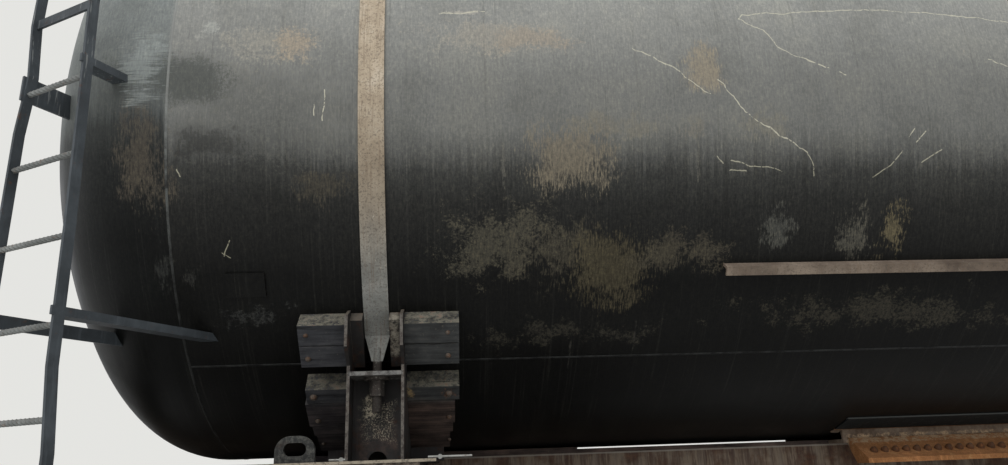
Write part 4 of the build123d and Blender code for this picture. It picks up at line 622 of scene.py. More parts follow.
def steel_coat(shades, base, rust, dust, dark, scale, cover):
    """Painted or cast steel with rust coming through, run marks and dust on upper faces.

    The cover says how many of the spots there are, and the scale how small they are.
    Returns the colour and the mask of the rusty spots."""
    wide = shades.noise(5.0, 5.0, 0.62)
    colour = shades.ramp(wide, ((0.3, shade(base, 0.6)), (0.5, base), (0.72, shade(base, 1.6))))
    spots = shades.effect("Mottle", scale, 0.62 - 0.3 * cover, 0.74 - 0.3 * cover, 0.72)
    colour = colour.coat(spots * rust, shades.effect("Rust colour", scale, dark))
    runs = shades.effect("Drop streaks", 45.0, 3.0, 0.52, 0.72)
    colour = colour.coat(runs * 0.30, shade(base, 2.2))
    layer = shades.normal()[2].fade(0.25, 0.95) * wide.fade(0.3, 0.55)
    return colour.coat(layer * dust, (0.24, 0.205, 0.16)), spots


def close_steel(shades, colour, spots, roughness):
    """Colour, fine pitting and roughness of a steel surface."""
    shades.finish(colour, roughness, spots * 0.7 + shades.noise(110.0, 4.0, 0.7), 0.45, 0.0012)


def make_steel(name, base, rust, dust, roughness, metallic, dark, scale, cover):
    """One of the plainer steels, from its row in the table."""
    shades = new_material(name, metallic=metallic)
    colour, spots = steel_coat(shades, base, rust, dust, dark, scale, cover)
    close_steel(shades, colour, spots, spots * 0.2 + (roughness - 0.1))


def make_frame_paint():
    """Nearly black frames with flaked, dusty and rusty places of their own."""
    shades = new_material("frame_paint")
    colour, spots = steel_coat(shades, (0.029, 0.027, 0.026), 0.40, 0.50, 1.1, 11.0, 0.40)
    x, y, z = shades.here()
    from_pivot = abs(abs(x) - PIVOT_X)
    out = abs(y)
    # Brown dust and streaks along the centre sill, with a pale line of dust on its top edge
    runs = shades.effect("Drop streaks", 26.0, 1.6, 0.35, 0.70)
    dusty = shades.blend(runs, (0.090, 0.054, 0.040), (0.230, 0.185, 0.140))
    sandy = shades.effect("Drop streaks", 95.0, 9.0, 0.42, 0.62)
    dusty = dusty.coat(sandy * 0.55, (0.30, 0.235, 0.165))
    rust = shades.effect("Rust colour", 26.0, 0.5).coat(0.5, (0.060, 0.034, 0.026))
    dusty = dusty.coat(shades.effect("Mottle", 7.0, 0.46, 0.62, 0.6) * 0.8, rust)
    sill = shades.effect("Region", 0.0, 0.0, 1.08, 5.30, 0.34, 0.20, 0.05)
    colour = colour.coat(sill * 0.85, dusty)
    brim = z.fade(SILL_TOP_Z - 0.010, SILL_TOP_Z - 0.006) * out.fade(0.30, 0.298)
    colour = colour.coat(brim * 0.6, (0.33, 0.30, 0.26))
    # The strap bracket's face: brown below, flaked pale spots in its middle
    lower = shades.effect("Region", PIVOT_X, FACE_Y, 1.29, 0.09, 0.02, 0.10, 0.05)
    colour = colour.coat(lower * 0.8, (0.082, 0.056, 0.046))
    dense = shades.effect("Region", PIVOT_X + 0.035, FACE_Y, 1.43, 0.035, 0.03, 0.06, 0.035)
    thin = shades.effect("Region", PIVOT_X - 0.002, FACE_Y, 1.375, 0.075, 0.03, 0.085, 0.04)
    flakes = dense * shades.effect("Mottle", 95.0, 0.48, 0.53, 0.8)
    specks = thin * shades.effect("Mottle", 150.0, 0.52, 0.57, 0.85)
    colour = colour.coat(shades.math("MAXIMUM", flakes, specks), (0.50, 0.44, 0.33))
    # Scuffed edges of the bracket's ribs, the top of its shelf and the cheek behind it
    scuffed = shades.effect("Mottle", 42.0, 0.36, 0.60, 0.8)
    rib = from_pivot.fade(0.096, 0.099) * from_pivot.fade(0.116, 0.113)
    rib = rib * abs(shades.normal()[1]).fade(0.6, 0.8) * out.fade(1.03, 1.06)
    colour = colour.coat(rib * 0.85, shades.blend(scuffed, (0.052, 0.042, 0.036), (0.165, 0.150, 0.130)))
    shelf = shades.effect("Region", PIVOT_X, 1.15, SHELF_TOP_Z - 0.008, 0.11, 0.14, 0.012, 0.004)
    colour = colour.coat(shelf * 0.8, shades.blend(scuffed, (0.050, 0.046, 0.042), (0.245, 0.240, 0.225)))
    cheek = shades.effect("Region", PIVOT_X - 0.072, 1.20, 1.71, 0.026, 0.16, 0.09, 0.02)
    colour = colour.coat(cheek * scuffed, (0.30, 0.27, 0.215))
    # The bolster's end: a speckled sheet, a crust along its upper edge and a dark lug
    arm = shades.effect("Region", PIVOT_X, 1.40, 1.09, 0.5, 0.03, 0.13, 0.02)
    speckled = shades.effect("Mottle", 48.0, 0.42, 0.60, 0.85)
    colour = colour.coat(arm * 0.85, shades.blend(speckled, (0.095, 0.072, 0.058), (0.235, 0.190, 0.150)))
    edge = shades.effect("Region", PIVOT_X, 1.42, 1.205, 0.5, 0.02, 0.025, 0.010)
    crust = shades.effect("Mottle", 55.0, 0.40, 0.52, 0.8)
    colour = colour.coat(edge * (crust * 0.5 + 0.35), (0.36, 0.31, 0.235))
    lug = shades.effect("Region", PIVOT_X + 0.259, 1.351, 1.27, 0.09, 0.02, 0.05, 0.01)
    pocked = shades.effect("Mottle", 70.0, 0.44, 0.60, 0.85)
    colour = colour.coat(lug * 0.9, shades.blend(pocked, (0.020, 0.021, 0.020), (0.085, 0.085, 0.075)))
    close_steel(shades, colour, spots, spots * 0.2 + 0.65)


def make_rusty_plate():
    """The anchor feet: orange rust on the sloping flange, dust on the upright strip."""
    shades = new_material("rusty_plate")
    colour, spots = steel_coat(shades, (0.370, 0.165, 0.064), 0.75, 0.05, -0.3, 20.0, 0.80)
    x, y, z = shades.here()
    upright = abs(y).fade(0.352, 0.346)
    colour = colour.coat(upright * 0.9, shades.ramp(shades.noise(14.0, 5.0, 0.7), (
        (0.32, (0.055, 0.042, 0.032)), (0.50, (0.135, 0.110, 0.085)), (0.68, (0.23, 0.195, 0.155)))))
    knee = shades.effect("Region", 0.0, 0.365, 1.25, 1.62, 0.03, 0.03, 0.012)
    flaky = shades.effect("Mottle", 40.0, 0.44, 0.54, 0.8)
    colour = colour.coat(knee * flaky, (0.44, 0.31, 0.19))
    scaly = shades.effect("Mottle", 60.0, 0.50, 0.62, 0.85)
    colour = colour.coat(scaly * (upright * -0.3 + 0.35), (0.075, 0.034, 0.018))
    pad = z.fade(1.278, 1.286) * abs(y).fade(0.350, 0.356)
    rim = z.fade(1.3425, 1.3445)
    colour = colour.coat(pad, shades.blend(rim, (0.010, 0.011, 0.011), (0.075, 0.078, 0.074)))
    close_steel(shades, colour, spots, spots * 0.2 + 0.7)


def make_ladder_paint():
    """Grey-blue rails, worn pale along the edges that hands and boots rub."""
    shades = new_material("ladder_paint")
    colour, spots = steel_coat(shades, (0.053, 0.061, 0.067), 0.40, 0.45, 0.8, 22.0, 0.15)
    rubbed = shades.effect("Drop streaks", 120.0, 6.0, 0.60, 0.68) * shades.here()[2].fade(2.35, 2.55)
    close_steel(shades, colour.coat(rubbed * 0.6, (0.30, 0.31, 0.30)), spots, spots * 0.2 + 0.5)


def make_wheel_steel():
    """Rusty webs and hubs with a rolled bright tread, found by its distance from the nearest axle."""
    shades = new_material("wheel_steel", 0.3)
    colour, spots = steel_coat(shades, (0.070, 0.048, 0.035), 0.75, 0.35, 0.8, 14.0, 0.6)
    x, y, z = shades.here()
    ahead = abs(abs(x) - PIVOT_X) - AXLE_X
    up = z - AXLE_Z
    radius = shades.math("SQRT", ahead * ahead + up * up)
    worn = (shades.noise(30.0, 3.0, 0.6) * 0.6 + 0.55).clamp()
    tread = radius.fade(TREAD_R - 0.004, TREAD_R - 0.001) * abs(y).fade(0.700, 0.712) * worn
    shades.feed(shades.surface["Metallic"], tread * 0.8)
    close_steel(shades, colour.coat(tread * 0.85, (0.34, 0.33, 0.32)), spots, tread * -0.35 + 0.68)


# Plainer steels: name, colour, rust, dust, roughness, metal, darkness, scale and cover of the rust
STEELS = (
    ("rivet_rust", (0.085, 0.040, 0.020), 0.7, 0.15, 0.75, 0.0, 0.6, 60.0, 0.6),
    ("rung_steel", (0.165, 0.172, 0.165), 0.35, 0.2, 0.55, 0.0, 0.6, 40.0, 0.25),
    ("walkway_steel", (0.085, 0.080, 0.072), 0.6, 0.6, 0.7, 0.0, 0.7, 14.0, 0.35),
    ("cast_steel", (0.048, 0.040, 0.033), 0.55, 0.7, 0.8, 0.0, 0.95, 12.0, 0.45),
    ("spring_steel", (0.050, 0.040, 0.034), 0.6, 0.5, 0.6, 0.0, 0.8, 25.0, 0.5),
    ("fitting_paint", (0.030, 0.031, 0.031), 0.3, 0.5, 0.45, 0.0, 0.8, 18.0, 0.2),
    ("bolt_steel", (0.095, 0.078, 0.064), 0.55, 0.4, 0.6, 0.2, 0.6, 60.0, 0.5),
    ("pale_bolt", (0.30, 0.30, 0.28), 0.4, 0.2, 0.5, 0.3, 0.6, 70.0, 0.3),
)
MATERIALS = (make_tank_paint, make_weld_bead, make_strap_paint, make_timber, make_frame_paint,
             make_rusty_plate, make_ladder_paint, make_wheel_steel)


def finish_piece(bm, name, material, body):
    """Turn a bmesh into a named piece that rides on a body."""
    bmesh.ops.recalc_face_normals(bm, faces=bm.faces)
    mesh = bpy.data.meshes.new(name)
    bm.to_mesh(mesh)
    bm.free()
    mesh.shade_smooth()
    mesh.set_sharp_from_angle(angle=math.radians(SHARP_DEGREES))
    mesh.materials.append(bpy.data.materials[material])
    piece = bpy.data.objects.new(name, mesh)
    bpy.context.scene.collection.objects.link(piece)
    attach(piece, body)
    return piece


def facing(point, direction):
    """A placing whose Z axis points along a direction."""
    return Matrix.Translation(point) @ Vector(direction).to_track_quat("Z", "Y").to_matrix().to_4x4()


def add_prism(bm, place, radius, height, sides, top_share=1.0):
    """A standing prism with its foot at the place."""
    up = Matrix.Translation((0, 0, height / 2))
    bmesh.ops.create_cone(bm, cap_ends=True, segments=sides, radius1=radius, radius2=radius * top_share,
                          depth=height, matrix=place @ up)


def add_bolt(bm, place, radius, height):
    """A six-sided head on a round washer, with the rounded end of its shank."""
    add_prism(bm, place, radius * 1.35, height * 0.22, 14)
    seat = place @ Matrix.Translation((0, 0, height * 0.22))
    add_prism(bm, seat, radius, height * 0.62, 6, 0.97)
    add_prism(bm, seat @ Matrix.Translation((0, 0, height * 0.62)), radius * 0.55, height * 0.3, 10, 0.7)


def add_bolt_ring(bm, centre, direction, ring, count, radius, height, shift=0.5):
    """Bolts in a ring, all facing one way. The shift turns the ring by a share of one step."""
    aim = facing(centre, direction)
    for number in range(count):
        angle = (number + shift) * 2 * math.pi / count
        spot = Matrix.Translation((ring * math.cos(angle), ring * math.sin(angle), 0))
        add_bolt(bm, aim @ spot, radius, height)


def add_dome(bm, place, radius, height):
    """A round rivet head: a broad foot under a lower crown."""
    add_prism(bm, place, radius, height * 0.45, 12, 0.9)
    crown = place @ Matrix.Translation((0, 0, height * 0.45))
    add_prism(bm, crown, radius * 0.9, height * 0.55, 12, 0.45)


def add_block(bm, low, high):
    """A straight bar that fills the box between two corners."""
    low, high = Vector(low), Vector(high)
    size = Matrix.Diagonal((*(high - low), 1.0))
    bmesh.ops.create_cube(bm, size=1.0, matrix=Matrix.Translation((low + high) / 2) @ size)


def add_section(bm, sides, radius, place):
    """The open ring of edges that a bar or a bead is drawn out from."""
    verts = bmesh.ops.create_circle(bm, segments=sides, radius=radius, matrix=place)["verts"]
    return verts, list({edge for vert in verts for edge in vert.link_edges})


def upright_place(point):
    """A placing for a section that is drawn along Y."""
    return Matrix.Translation(point) @ Matrix.Rotation(math.pi / 2, 4, "X")


def add_coil(bm, foot, coil_radius, wire, height, turns, hand=1.0, steps=16, sides=6):
    """A round bar wound upwards round an upright line, with open ends that the caller closes."""
    place = upright_place(Vector(foot) + Vector((coil_radius, 0, 0)))
    verts, edges = add_section(bm, sides, wire, place)
    count = round(turns * steps)
    bmesh.ops.spin(bm, geom=verts + edges, cent=foot, axis=(0, 0, hand), dvec=(0, 0, height / count),
                   angle=2 * math.pi * turns, steps=count)


def close_ends(bm):
    bmesh.ops.holes_fill(bm, edges=[edge for edge in bm.edges if edge.is_boundary], sides=0)


def everything(bm):
    return list(bm.verts) + list(bm.edges) + list(bm.faces)


def both_ends(bm):
    """Copy everything to the other end of the car by half a turn."""
    copy = bmesh.ops.duplicate(bm, geom=everything(bm))["geom"]
    verts = [item for item in copy if isinstance(item, bmesh.types.BMVert)]
    bmesh.ops.rotate(bm, verts=verts, cent=(0, 0, 0), matrix=Matrix.Rotation(math.pi, 3, "Z"))


def both_sides(bm):
    """Copy everything to the other side of the car."""
    bmesh.ops.mirror(bm, geom=everything(bm), axis="Y", merge_dist=0)


def out_of_tank(degrees):
    """The direction straight out of the tank's photographed side at one height."""
    angle = math.radians(degrees)
    return Vector((0, -math.cos(angle), math.sin(angle)))


def on_tank(along, degrees, out=0.0):
    """A point on the photographed side of the barrel."""
    return Vector((along, 0, TANK_AXIS_Z)) + out_of_tank(degrees) * (TANK_R + out)


def merged_copy(node):
    """The mesh of a frame node as a bmesh with its loose triangles joined."""
    bm = bmesh.new()
    bm.from_mesh(frame["nodes"][node].data)
    bmesh.ops.remove_doubles(bm, verts=bm.verts, dist=1e-5)
    return bm


def separate_solids(bm):
    """Each solid of a merged copy: its vertices, its lowest and its highest corner."""
    left = set(bm.verts)
    while left:
        solid = [left.pop()]
        for vert in solid:
            joined = {edge.other_vert(vert) for edge in vert.link_edges} & left
            left -= joined
            solid.extend(joined)
        sides = [sorted(vert.co[axis] for vert in solid) for axis in range(3)]
        yield solid, Vector([side[0] for side in sides]), Vector([side[-1] for side in sides])


def add_kept(bm, solids, kept):
    """Close the new bars and add the kept solids of a merged copy. Returns the kept faces."""
    bmesh.ops.delete(solids, geom=list(set(solids.verts) - set(kept)), context="VERTS")
    mesh = bpy.data.meshes.new("kept")
    solids.to_mesh(mesh)
    solids.free()
    close_ends(bm)
    bars = set(bm.faces)
    bm.from_mesh(mesh)
    bpy.data.meshes.remove(mesh)
    return set(bm.faces) - bars


class TankCarSettings(bpy.types.PropertyGroup):
    """Sizes that a user may change before building the fittings."""
    bead: bpy.props.FloatProperty(
        name="Weld bead", description="Width of the weld beads on the tank", default=0.010,
        unit="LENGTH", subtype="DISTANCE")
    bolt: bpy.props.FloatProperty(
        name="Bolt", description="Radius of the heads of the frame bolts", default=0.014,
        unit="LENGTH", subtype="DISTANCE")
    foot_pitch: bpy.props.FloatProperty(
        name="Foot rivet pitch", description="Distance between the rivets of an anchor foot",
        default=0.055, unit="LENGTH", subtype="DISTANCE")
    rung: bpy.props.FloatProperty(
        name="Rung", description="Distance from the middle to the corners of a twisted rung",
        default=0.0115, unit="LENGTH", subtype="DISTANCE")
    rung_turn: bpy.props.FloatProperty(
        name="Rung twist", description="Length of a rung in which its bar turns once",
        default=0.085, unit="LENGTH", subtype="DISTANCE")
    wire: bpy.props.FloatProperty(
        name="Spring wire", description="Radius of the round bar of a bogie spring", default=0.015,
        unit="LENGTH", subtype="DISTANCE")
    spring_turns: bpy.props.FloatProperty(
        name="Spring turns", description="Turns of a bogie spring", default=5.5)
    grating: bpy.props.FloatProperty(
        name="Grating pitch", description="Distance between the bars of the walkway grating",
        default=0.034, unit="LENGTH", subtype="DISTANCE")
    thread: bpy.props.FloatProperty(
        name="Thread pitch", description="Pitch of the thread on the strap rods", default=0.006,
        unit="LENGTH", subtype="DISTANCE")


class StudioSettings(bpy.types.PropertyGroup):
    """The camera, as fitted to the photograph, and the colours of the studio."""
    camera_place: bpy.props.FloatVectorProperty(
        name="Camera", description="Where the camera stands", default=(-3.619, -4.180, 1.187),
        subtype="XYZ", unit="LENGTH")
    pitch: bpy.props.FloatProperty(
        name="Pitch", description="How far the camera looks up", default=math.radians(17.09),
        subtype="ANGLE", unit="ROTATION")
    yaw: bpy.props.FloatProperty(
        name="Yaw", description="How far the camera turns to the right", default=math.radians(4.63),
        subtype="ANGLE", unit="ROTATION")
    roll: bpy.props.FloatProperty(
        name="Roll", description="How far the camera leans", default=math.radians(-2.13),
        subtype="ANGLE", unit="ROTATION")
    lens: bpy.props.FloatProperty(
        name="Lens", description="Focal length for a 36 mm wide picture", default=27.04,
        unit="CAMERA")
    floor_colour: bpy.props.FloatVectorProperty(
        name="Floor", description="Colour of the floor", default=(0.72, 0.72, 0.70), subtype="COLOR")
    sky_colour: bpy.props.FloatVectorProperty(
        name="Backdrop", description="Colour seen behind the car", default=(0.78, 0.78, 0.755),
        subtype="COLOR")


class TANKCAR_OT_finishes(bpy.types.Operator):
    """Build the materials and give each node of the frame its own"""
    bl_idname = "tankcar.finishes"
    bl_label = "Finishes"

    def execute(self, context):
        for build in EFFECTS + MATERIALS:
            build()
        for steel in STEELS:
            make_steel(*steel)
        for name, node in frame["nodes"].items():
            node.data.materials.clear()
            node.data.materials.append(bpy.data.materials[SUBPARTS[name]])
        return {"FINISHED"}


class TANKCAR_OT_weld_seams(bpy.types.Operator):
    """Weld beads round the tank, along its plates and round the neck and valves"""
    bl_idname = "tankcar.weld_seams"
    bl_label = "Weld seams"

    def execute(self, context):
        bead = context.scene.tank_car.bead
        bm = bmesh.new()
        self.add_ring(bm, bead, -SEAM_X)
        for degrees in PLATE_SEAMS:
            self.add_plate_seam(bm, bead, degrees)
        both_ends(bm)
        self.add_foot_bead(bm, bead, 0.0, NECK_OUT_R)
        for along in (-VALVE_X, VALVE_X):
            self.add_foot_bead(bm, bead, along, VALVE_FOOT_R)
        finish_piece(bm, "weld_seams", "weld_bead", "car")
        return {"FINISHED"}

    def add_ring(self, bm, bead, along):
        """A flat bead all the way round the barrel."""
        top = Vector((along, 0, TANK_AXIS_Z + TANK_R))
        verts, edges = add_section(bm, 8, bead / 2, upright_place(top))
        bmesh.ops.scale(bm, vec=(1, 1, 0.36), verts=verts, space=Matrix.Translation(-top))
        bmesh.ops.spin(bm, geom=verts + edges, cent=(along, 0, TANK_AXIS_Z), axis=(1, 0, 0),
                       angle=2 * math.pi, steps=160, use_merge=True)

    def add_plate_seam(self, bm, bead, degrees):
        """A flat bead along the photographed side, from seam to seam."""
        middle, out = on_tank(-SEAM_X, degrees), out_of_tank(degrees)
        verts, edges = add_section(bm, 8, bead / 2, facing(middle, (1, 0, 0)))
        for vert in verts:
            vert.co -= out * (vert.co - middle).dot(out) * 0.64
        moved = bmesh.ops.extrude_edge_only(bm, edges=edges)["geom"]
        ends = [item for item in moved if isinstance(item, bmesh.types.BMVert)]
        bmesh.ops.translate(bm, vec=(2 * SEAM_X, 0, 0), verts=ends)

    def add_foot_bead(self, bm, bead, along, radius):
        """A bead where an upright pipe meets the top of the round tank."""
        before = set(bm.verts)
        verts, edges = add_section(bm, 8, bead / 2, upright_place((along + radius, 0, 0)))
        bmesh.ops.spin(bm, geom=verts + edges, cent=(along, 0, 0), axis=(0, 0, 1), angle=2 * math.pi,
                       steps=64, use_merge=True)
        for vert in set(bm.verts) - before:
            vert.co.z += TANK_AXIS_Z + math.sqrt(TANK_R ** 2 - vert.co.y ** 2)


class TANKCAR_OT_strap_rods(bpy.types.Operator):
    """Threads on the rods that pull the straps down, below the lock nuts under the shelves and above the
    shelves, with a washer on each shelf
    """
    bl_idname = "tankcar.strap_rods"
    bl_label = "Strap rods"

    def execute(self, context):
        pitch = context.scene.tank_car.thread
        bm = bmesh.new()
        for low, high in ((ROD_LOW_Z, NUT_LOW_Z), (SHELF_TOP_Z, SHELF_TOP_Z + 0.10)):
            foot = (-PIVOT_X, -ROD_Y, low)
            add_coil(bm, foot, ROD_R, pitch * 0.24, high - low, (high - low) / pitch, steps=12, sides=4)
        add_prism(bm, Matrix.Translation((-PIVOT_X, -ROD_Y, SHELF_TOP_Z)), ROD_R * 2.1, 0.007, 20)
        close_ends(bm)
        both_sides(bm)
        bmesh.ops.mirror(bm, geom=everything(bm), axis="X", merge_dist=0)
        finish_piece(bm, "strap_rod_threads", "strap_paint", "car")
        return {"FINISHED"}


class TANKCAR_OT_saddle_bolts(bpy.types.Operator):
    """Bolts that hold the saddle timbers to their frames"""
    bl_idname = "tankcar.saddle_bolts"
    bl_label = "Saddle bolts"

    def execute(self, context):
        radius = context.scene.tank_car.bolt
        bm = bmesh.new()
        for degrees, size in TIMBER_BOLTS:
            for along in TIMBER_BOLT_X:
                place = on_tank(-PIVOT_X + along, degrees, TIMBER_OUT - 0.001)
                add_dome(bm, facing(place, out_of_tank(degrees)), radius * size, radius * size * 0.9)
        both_sides(bm)
        both_ends(bm)
        finish_piece(bm, "saddle_bolts", "bolt_steel", "car")
        return {"FINISHED"}


class TANKCAR_OT_deck_pins(bpy.types.Operator):
    """Pale split pins that lie in the ends of the saddle decks"""
    bl_idname = "tankcar.deck_pins"
    bl_label = "Deck pins"

    def execute(self, context):
        bm = bmesh.new()
        for along, length in ((SADDLE_HALF_X - 0.055, 0.165), (-SADDLE_HALF_X + 0.10, 0.06)):
            start = Vector((-PIVOT_X + along, -PIN_Y, DECK_TOP_Z + 0.008))
            for across, short in ((-PIN_APART, 0.0), (PIN_APART, 0.022)):
                leg = facing(start + Vector((0, across, 0)), (1, 0, 0))
                add_prism(bm, leg, PIN_R, length - short, 8, 0.9)
            add_prism(bm, facing(start + Vector((0.045, -0.008, 0)), (0, 1, 0)), 0.009, 0.016, 12)
        both_sides(bm)
        both_ends(bm)
        finish_piece(bm, "deck_pins", "pale_bolt", "car")
        return {"FINISHED"}


class TANKCAR_OT_foot_rivets(bpy.types.Operator):
    """The close row of rivets along each anchor foot"""
    bl_idname = "tankcar.foot_rivets"
    bl_label = "Anchor foot rivets"

    def execute(self, context):
        pitch = context.scene.tank_car.foot_pitch
        knee, toe = Vector((0, -FOOT_KNEE_Y, FOOT_KNEE_Z)), Vector((0, FOOT_LOW.y, FOOT_TOE_Z))
        middle = knee.lerp(toe, RIVET_ROW_SHARE)
        outward = Vector((0, toe.z - knee.z, knee.y - toe.y)).normalized()
        count = round(2 * (FOOT_FLANGE_HALF - 0.05) / pitch)
        bm = bmesh.new()
        for number in range(count + 1):
            along = (number - count / 2) * pitch
            add_dome(bm, facing(middle + Vector((along, 0, 0)), outward), RIVET_R, RIVET_UP)
        both_sides(bm)
        finish_piece(bm, "anchor_foot_rivets", "rivet_rust", "car")
        return {"FINISHED"}


class TANKCAR_OT_ladder_rungs(bpy.types.Operator):
    """Twisted square rungs in place of the plain round bars; the flat rungs stay"""
    bl_idname = "tankcar.ladder_rungs"
    bl_label = "Ladder rungs"

    def execute(self, context):
        settings = context.scene.tank_car
        solids = merged_copy("ladder_rungs")
        bm = bmesh.new()
        flat = []
        for verts, low, high in separate_solids(solids):
            if high.z - low.z > 3 * settings.rung:
                flat.extend(verts)
                continue
            middle = (low.x + high.x) / 2
            ends = [[vert.co for vert in verts if (vert.co.x > middle) == right] for right in (False, True)]
            left, right = (sum(places, Vector()) / len(places) for places in ends)
            self.add_rung(bm, left, right, settings)
        for face in add_kept(bm, solids, flat):
            face.material_index = 1
        piece = finish_piece(bm, "twisted_rungs", "rung_steel", "car")
        piece.data.materials.append(bpy.data.materials["ladder_paint"])
        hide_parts("ladder_rungs")
        return {"FINISHED"}

    def add_rung(self, bm, left, right, settings):
        """A square bar that turns round its own line from one rail to the other."""
        reach = right - left
        verts, edges = add_section(bm, 4, settings.rung, facing(left, reach))
        turns = reach.length / settings.rung_turn
        steps = round(turns * 14)
        bmesh.ops.spin(bm, geom=verts + edges, cent=left, axis=reach.normalized(), dvec=reach / steps,
                       angle=2 * math.pi * turns, steps=steps)


class TANKCAR_OT_springs(bpy.types.Operator):
    """Wound springs in place of the plain ones in each bogie; the wedges stay"""
    bl_idname = "tankcar.springs"
    bl_label = "Springs"

    def execute(self, context):
        settings = context.scene.tank_car
        for end in ("front", "rear"):
            solids = merged_copy("springs_" + end)
            bm = bmesh.new()
            wedges = []
            for verts, low, high in separate_solids(solids):
                if high.z > SPRING_TOP_Z + 0.01:
                    wedges.extend(verts)
                else:
                    self.add_spring(bm, low, high, settings)
            add_kept(bm, solids, wedges)
            piece = finish_piece(bm, "coil_springs_" + end, "spring_steel", "bogie_" + end)
            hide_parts("springs_" + end)
        return {"FINISHED"}

    def add_spring(self, bm, low, high, settings):
        """Outer and inner coil between two end rings, inside the space of one spring."""
        wire, turns = settings.wire, settings.spring_turns
        radius = (high.x - low.x) / 2 - wire
        foot = Vector(((low.x + high.x) / 2, (low.y + high.y) / 2, low.z + wire))
        height = high.z - low.z - 2 * wire
        add_coil(bm, foot, radius, wire, height, turns)
        for level in (low.z + wire, high.z - wire):
            add_coil(bm, (foot.x, foot.y, level), radius, wire, 0.0, 0.97, steps=18)
        add_coil(bm, foot, radius - 2.4 * wire, wire * 0.66, height, turns + 2, hand=-1.0, steps=12)


class TANKCAR_OT_bogie_bolts(bpy.types.Operator):
    """Bolted covers of the axle boxes, with a raised ring on each"""
    bl_idname = "tankcar.bogie_bolts"
    bl_label = "Axle box covers"

    def execute(self, context):
        radius = context.scene.tank_car.bolt
        out = Vector((0, -1, 0))
        for end, sign in (("front", -1.0), ("rear", 1.0)):
            bm = bmesh.new()
            for along in (-AXLE_X, AXLE_X):
                centre = Vector((sign * PIVOT_X + along, -COVER_Y, AXLE_Z))
                add_bolt_ring(bm, centre, out, COVER_BOLT_R, 8, radius * 0.8, radius * 1.1)
                add_prism(bm, facing(centre, out), COVER_BOLT_R * 0.66, COVER_RING_UP, 32, 0.94)
                plug = facing(centre + out * COVER_RING_UP, out)
                add_prism(bm, plug, COVER_BOLT_R * 0.2, 0.010, 6, 0.95)
            both_sides(bm)
            finish_piece(bm, "axle_box_bolts_" + end, "cast_steel", "bogie_" + end)
        return {"FINISHED"}


class TANKCAR_OT_top_bolts(bpy.types.Operator):
    """Bolts of the manhole lid and of the relief valves"""
    bl_idname = "tankcar.top_bolts"
    bl_label = "Top fittings"

    def execute(self, context):
        lid = bmesh.new()
        add_bolt_ring(lid, (0, 0, NECK_TOP_Z + LID_RIM_UP), (0, 0, 1), LID_BOLT_RING, 12, 0.012, 0.020)
        finish_piece(lid, "lid_bolts", "bolt_steel", "manhole_lid")
        valves = bmesh.new()
        for along in (-VALVE_X, VALVE_X):
            centre = (along, 0, VALVE_FLANGE_Z)
            add_bolt_ring(valves, centre, (0, 0, 1), VALVE_BOLT_RING, 8, 0.009, 0.016)
        finish_piece(valves, "valve_bolts", "bolt_steel", "car")
        return {"FINISHED"}


class TANKCAR_OT_pipe_bolts(bpy.types.Operator):
    """Bolts of the bottom outlet's flange and of the brake cylinder's cover"""
    bl_idname = "tankcar.pipe_bolts"
    bl_label = "Underframe bolts"

    def execute(self, context):
        bm = bmesh.new()
        add_bolt_ring(bm, (0, 0, OUTLET_FLANGE_Z), (0, 0, -1), OUTLET_BOLT_RING, 8, 0.008, 0.014)
        add_bolt_ring(bm, CYLINDER_COVER, (1, 0, 0), CYLINDER_BOLT_RING, 10, 0.009, 0.016, shift=0.0)
        finish_piece(bm, "underframe_bolts", "bolt_steel", "car")
        return {"FINISHED"}


class TANKCAR_OT_sill_packing(bpy.types.Operator):
    """Packing strips on the centre sill, full height at the saddles and lower between them"""
    bl_idname = "tankcar.sill_packing"
    bl_label = "Sill packing"

    def execute(self, context):
        bm = bmesh.new()
        for low_x, high_x, top in PACKING:
            add_block(bm, (low_x, -SILL_OUT_Y, SILL_TOP_Z), (high_x, PACKING_WIDE - SILL_OUT_Y, top))
        both_sides(bm)
        bmesh.ops.bevel(bm, geom=list(bm.edges), offset=0.002, affect="EDGES", segments=1, profile=0.5,
                        material=-1)
        both_ends(bm)
        finish_piece(bm, "sill_packing", "timber", "car")
        return {"FINISHED"}


class TANKCAR_OT_walkway_grating(bpy.types.Operator):
    """Bar grating in place of the plain walkway boards"""
    bl_idname = "tankcar.walkway_grating"
    bl_label = "Walkway grating"

    def execute(self, context):
        pitch = context.scene.tank_car.grating
        solids = merged_copy("walkway_boards")
        bm = bmesh.new()
        for verts, low, high in separate_solids(solids):
            for side in (low.y, high.y - GRATING_BAR):
                add_block(bm, (low.x, side, low.z), (high.x, side + GRATING_BAR, high.z))
            for side in (low.x, high.x - GRATING_BAR):
                add_block(bm, (side, low.y, low.z), (side + GRATING_BAR, high.y, high.z))
            half = GRATING_STRIP_HALF
            for across in self.between(low.y, high.y, pitch):
                add_block(bm, (low.x, across - half, low.z + 0.004), (high.x, across + half, high.z))
            half = GRATING_ROD_HALF
            for along in self.between(low.x, high.x, 3 * pitch):
                add_block(bm, (along - half, low.y, high.z - 0.010), (along + half, high.y, high.z - 0.002))
        solids.free()
        piece = finish_piece(bm, "walkway_grating", "walkway_steel", "car")
        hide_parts("walkway_boards")
        return {"FINISHED"}

    def between(self, low, high, pitch):
        """Even places between two ends, about one pitch apart."""
        count = round((high - low) / pitch)
        return [low + number * (high - low) / count for number in range(1, count)]


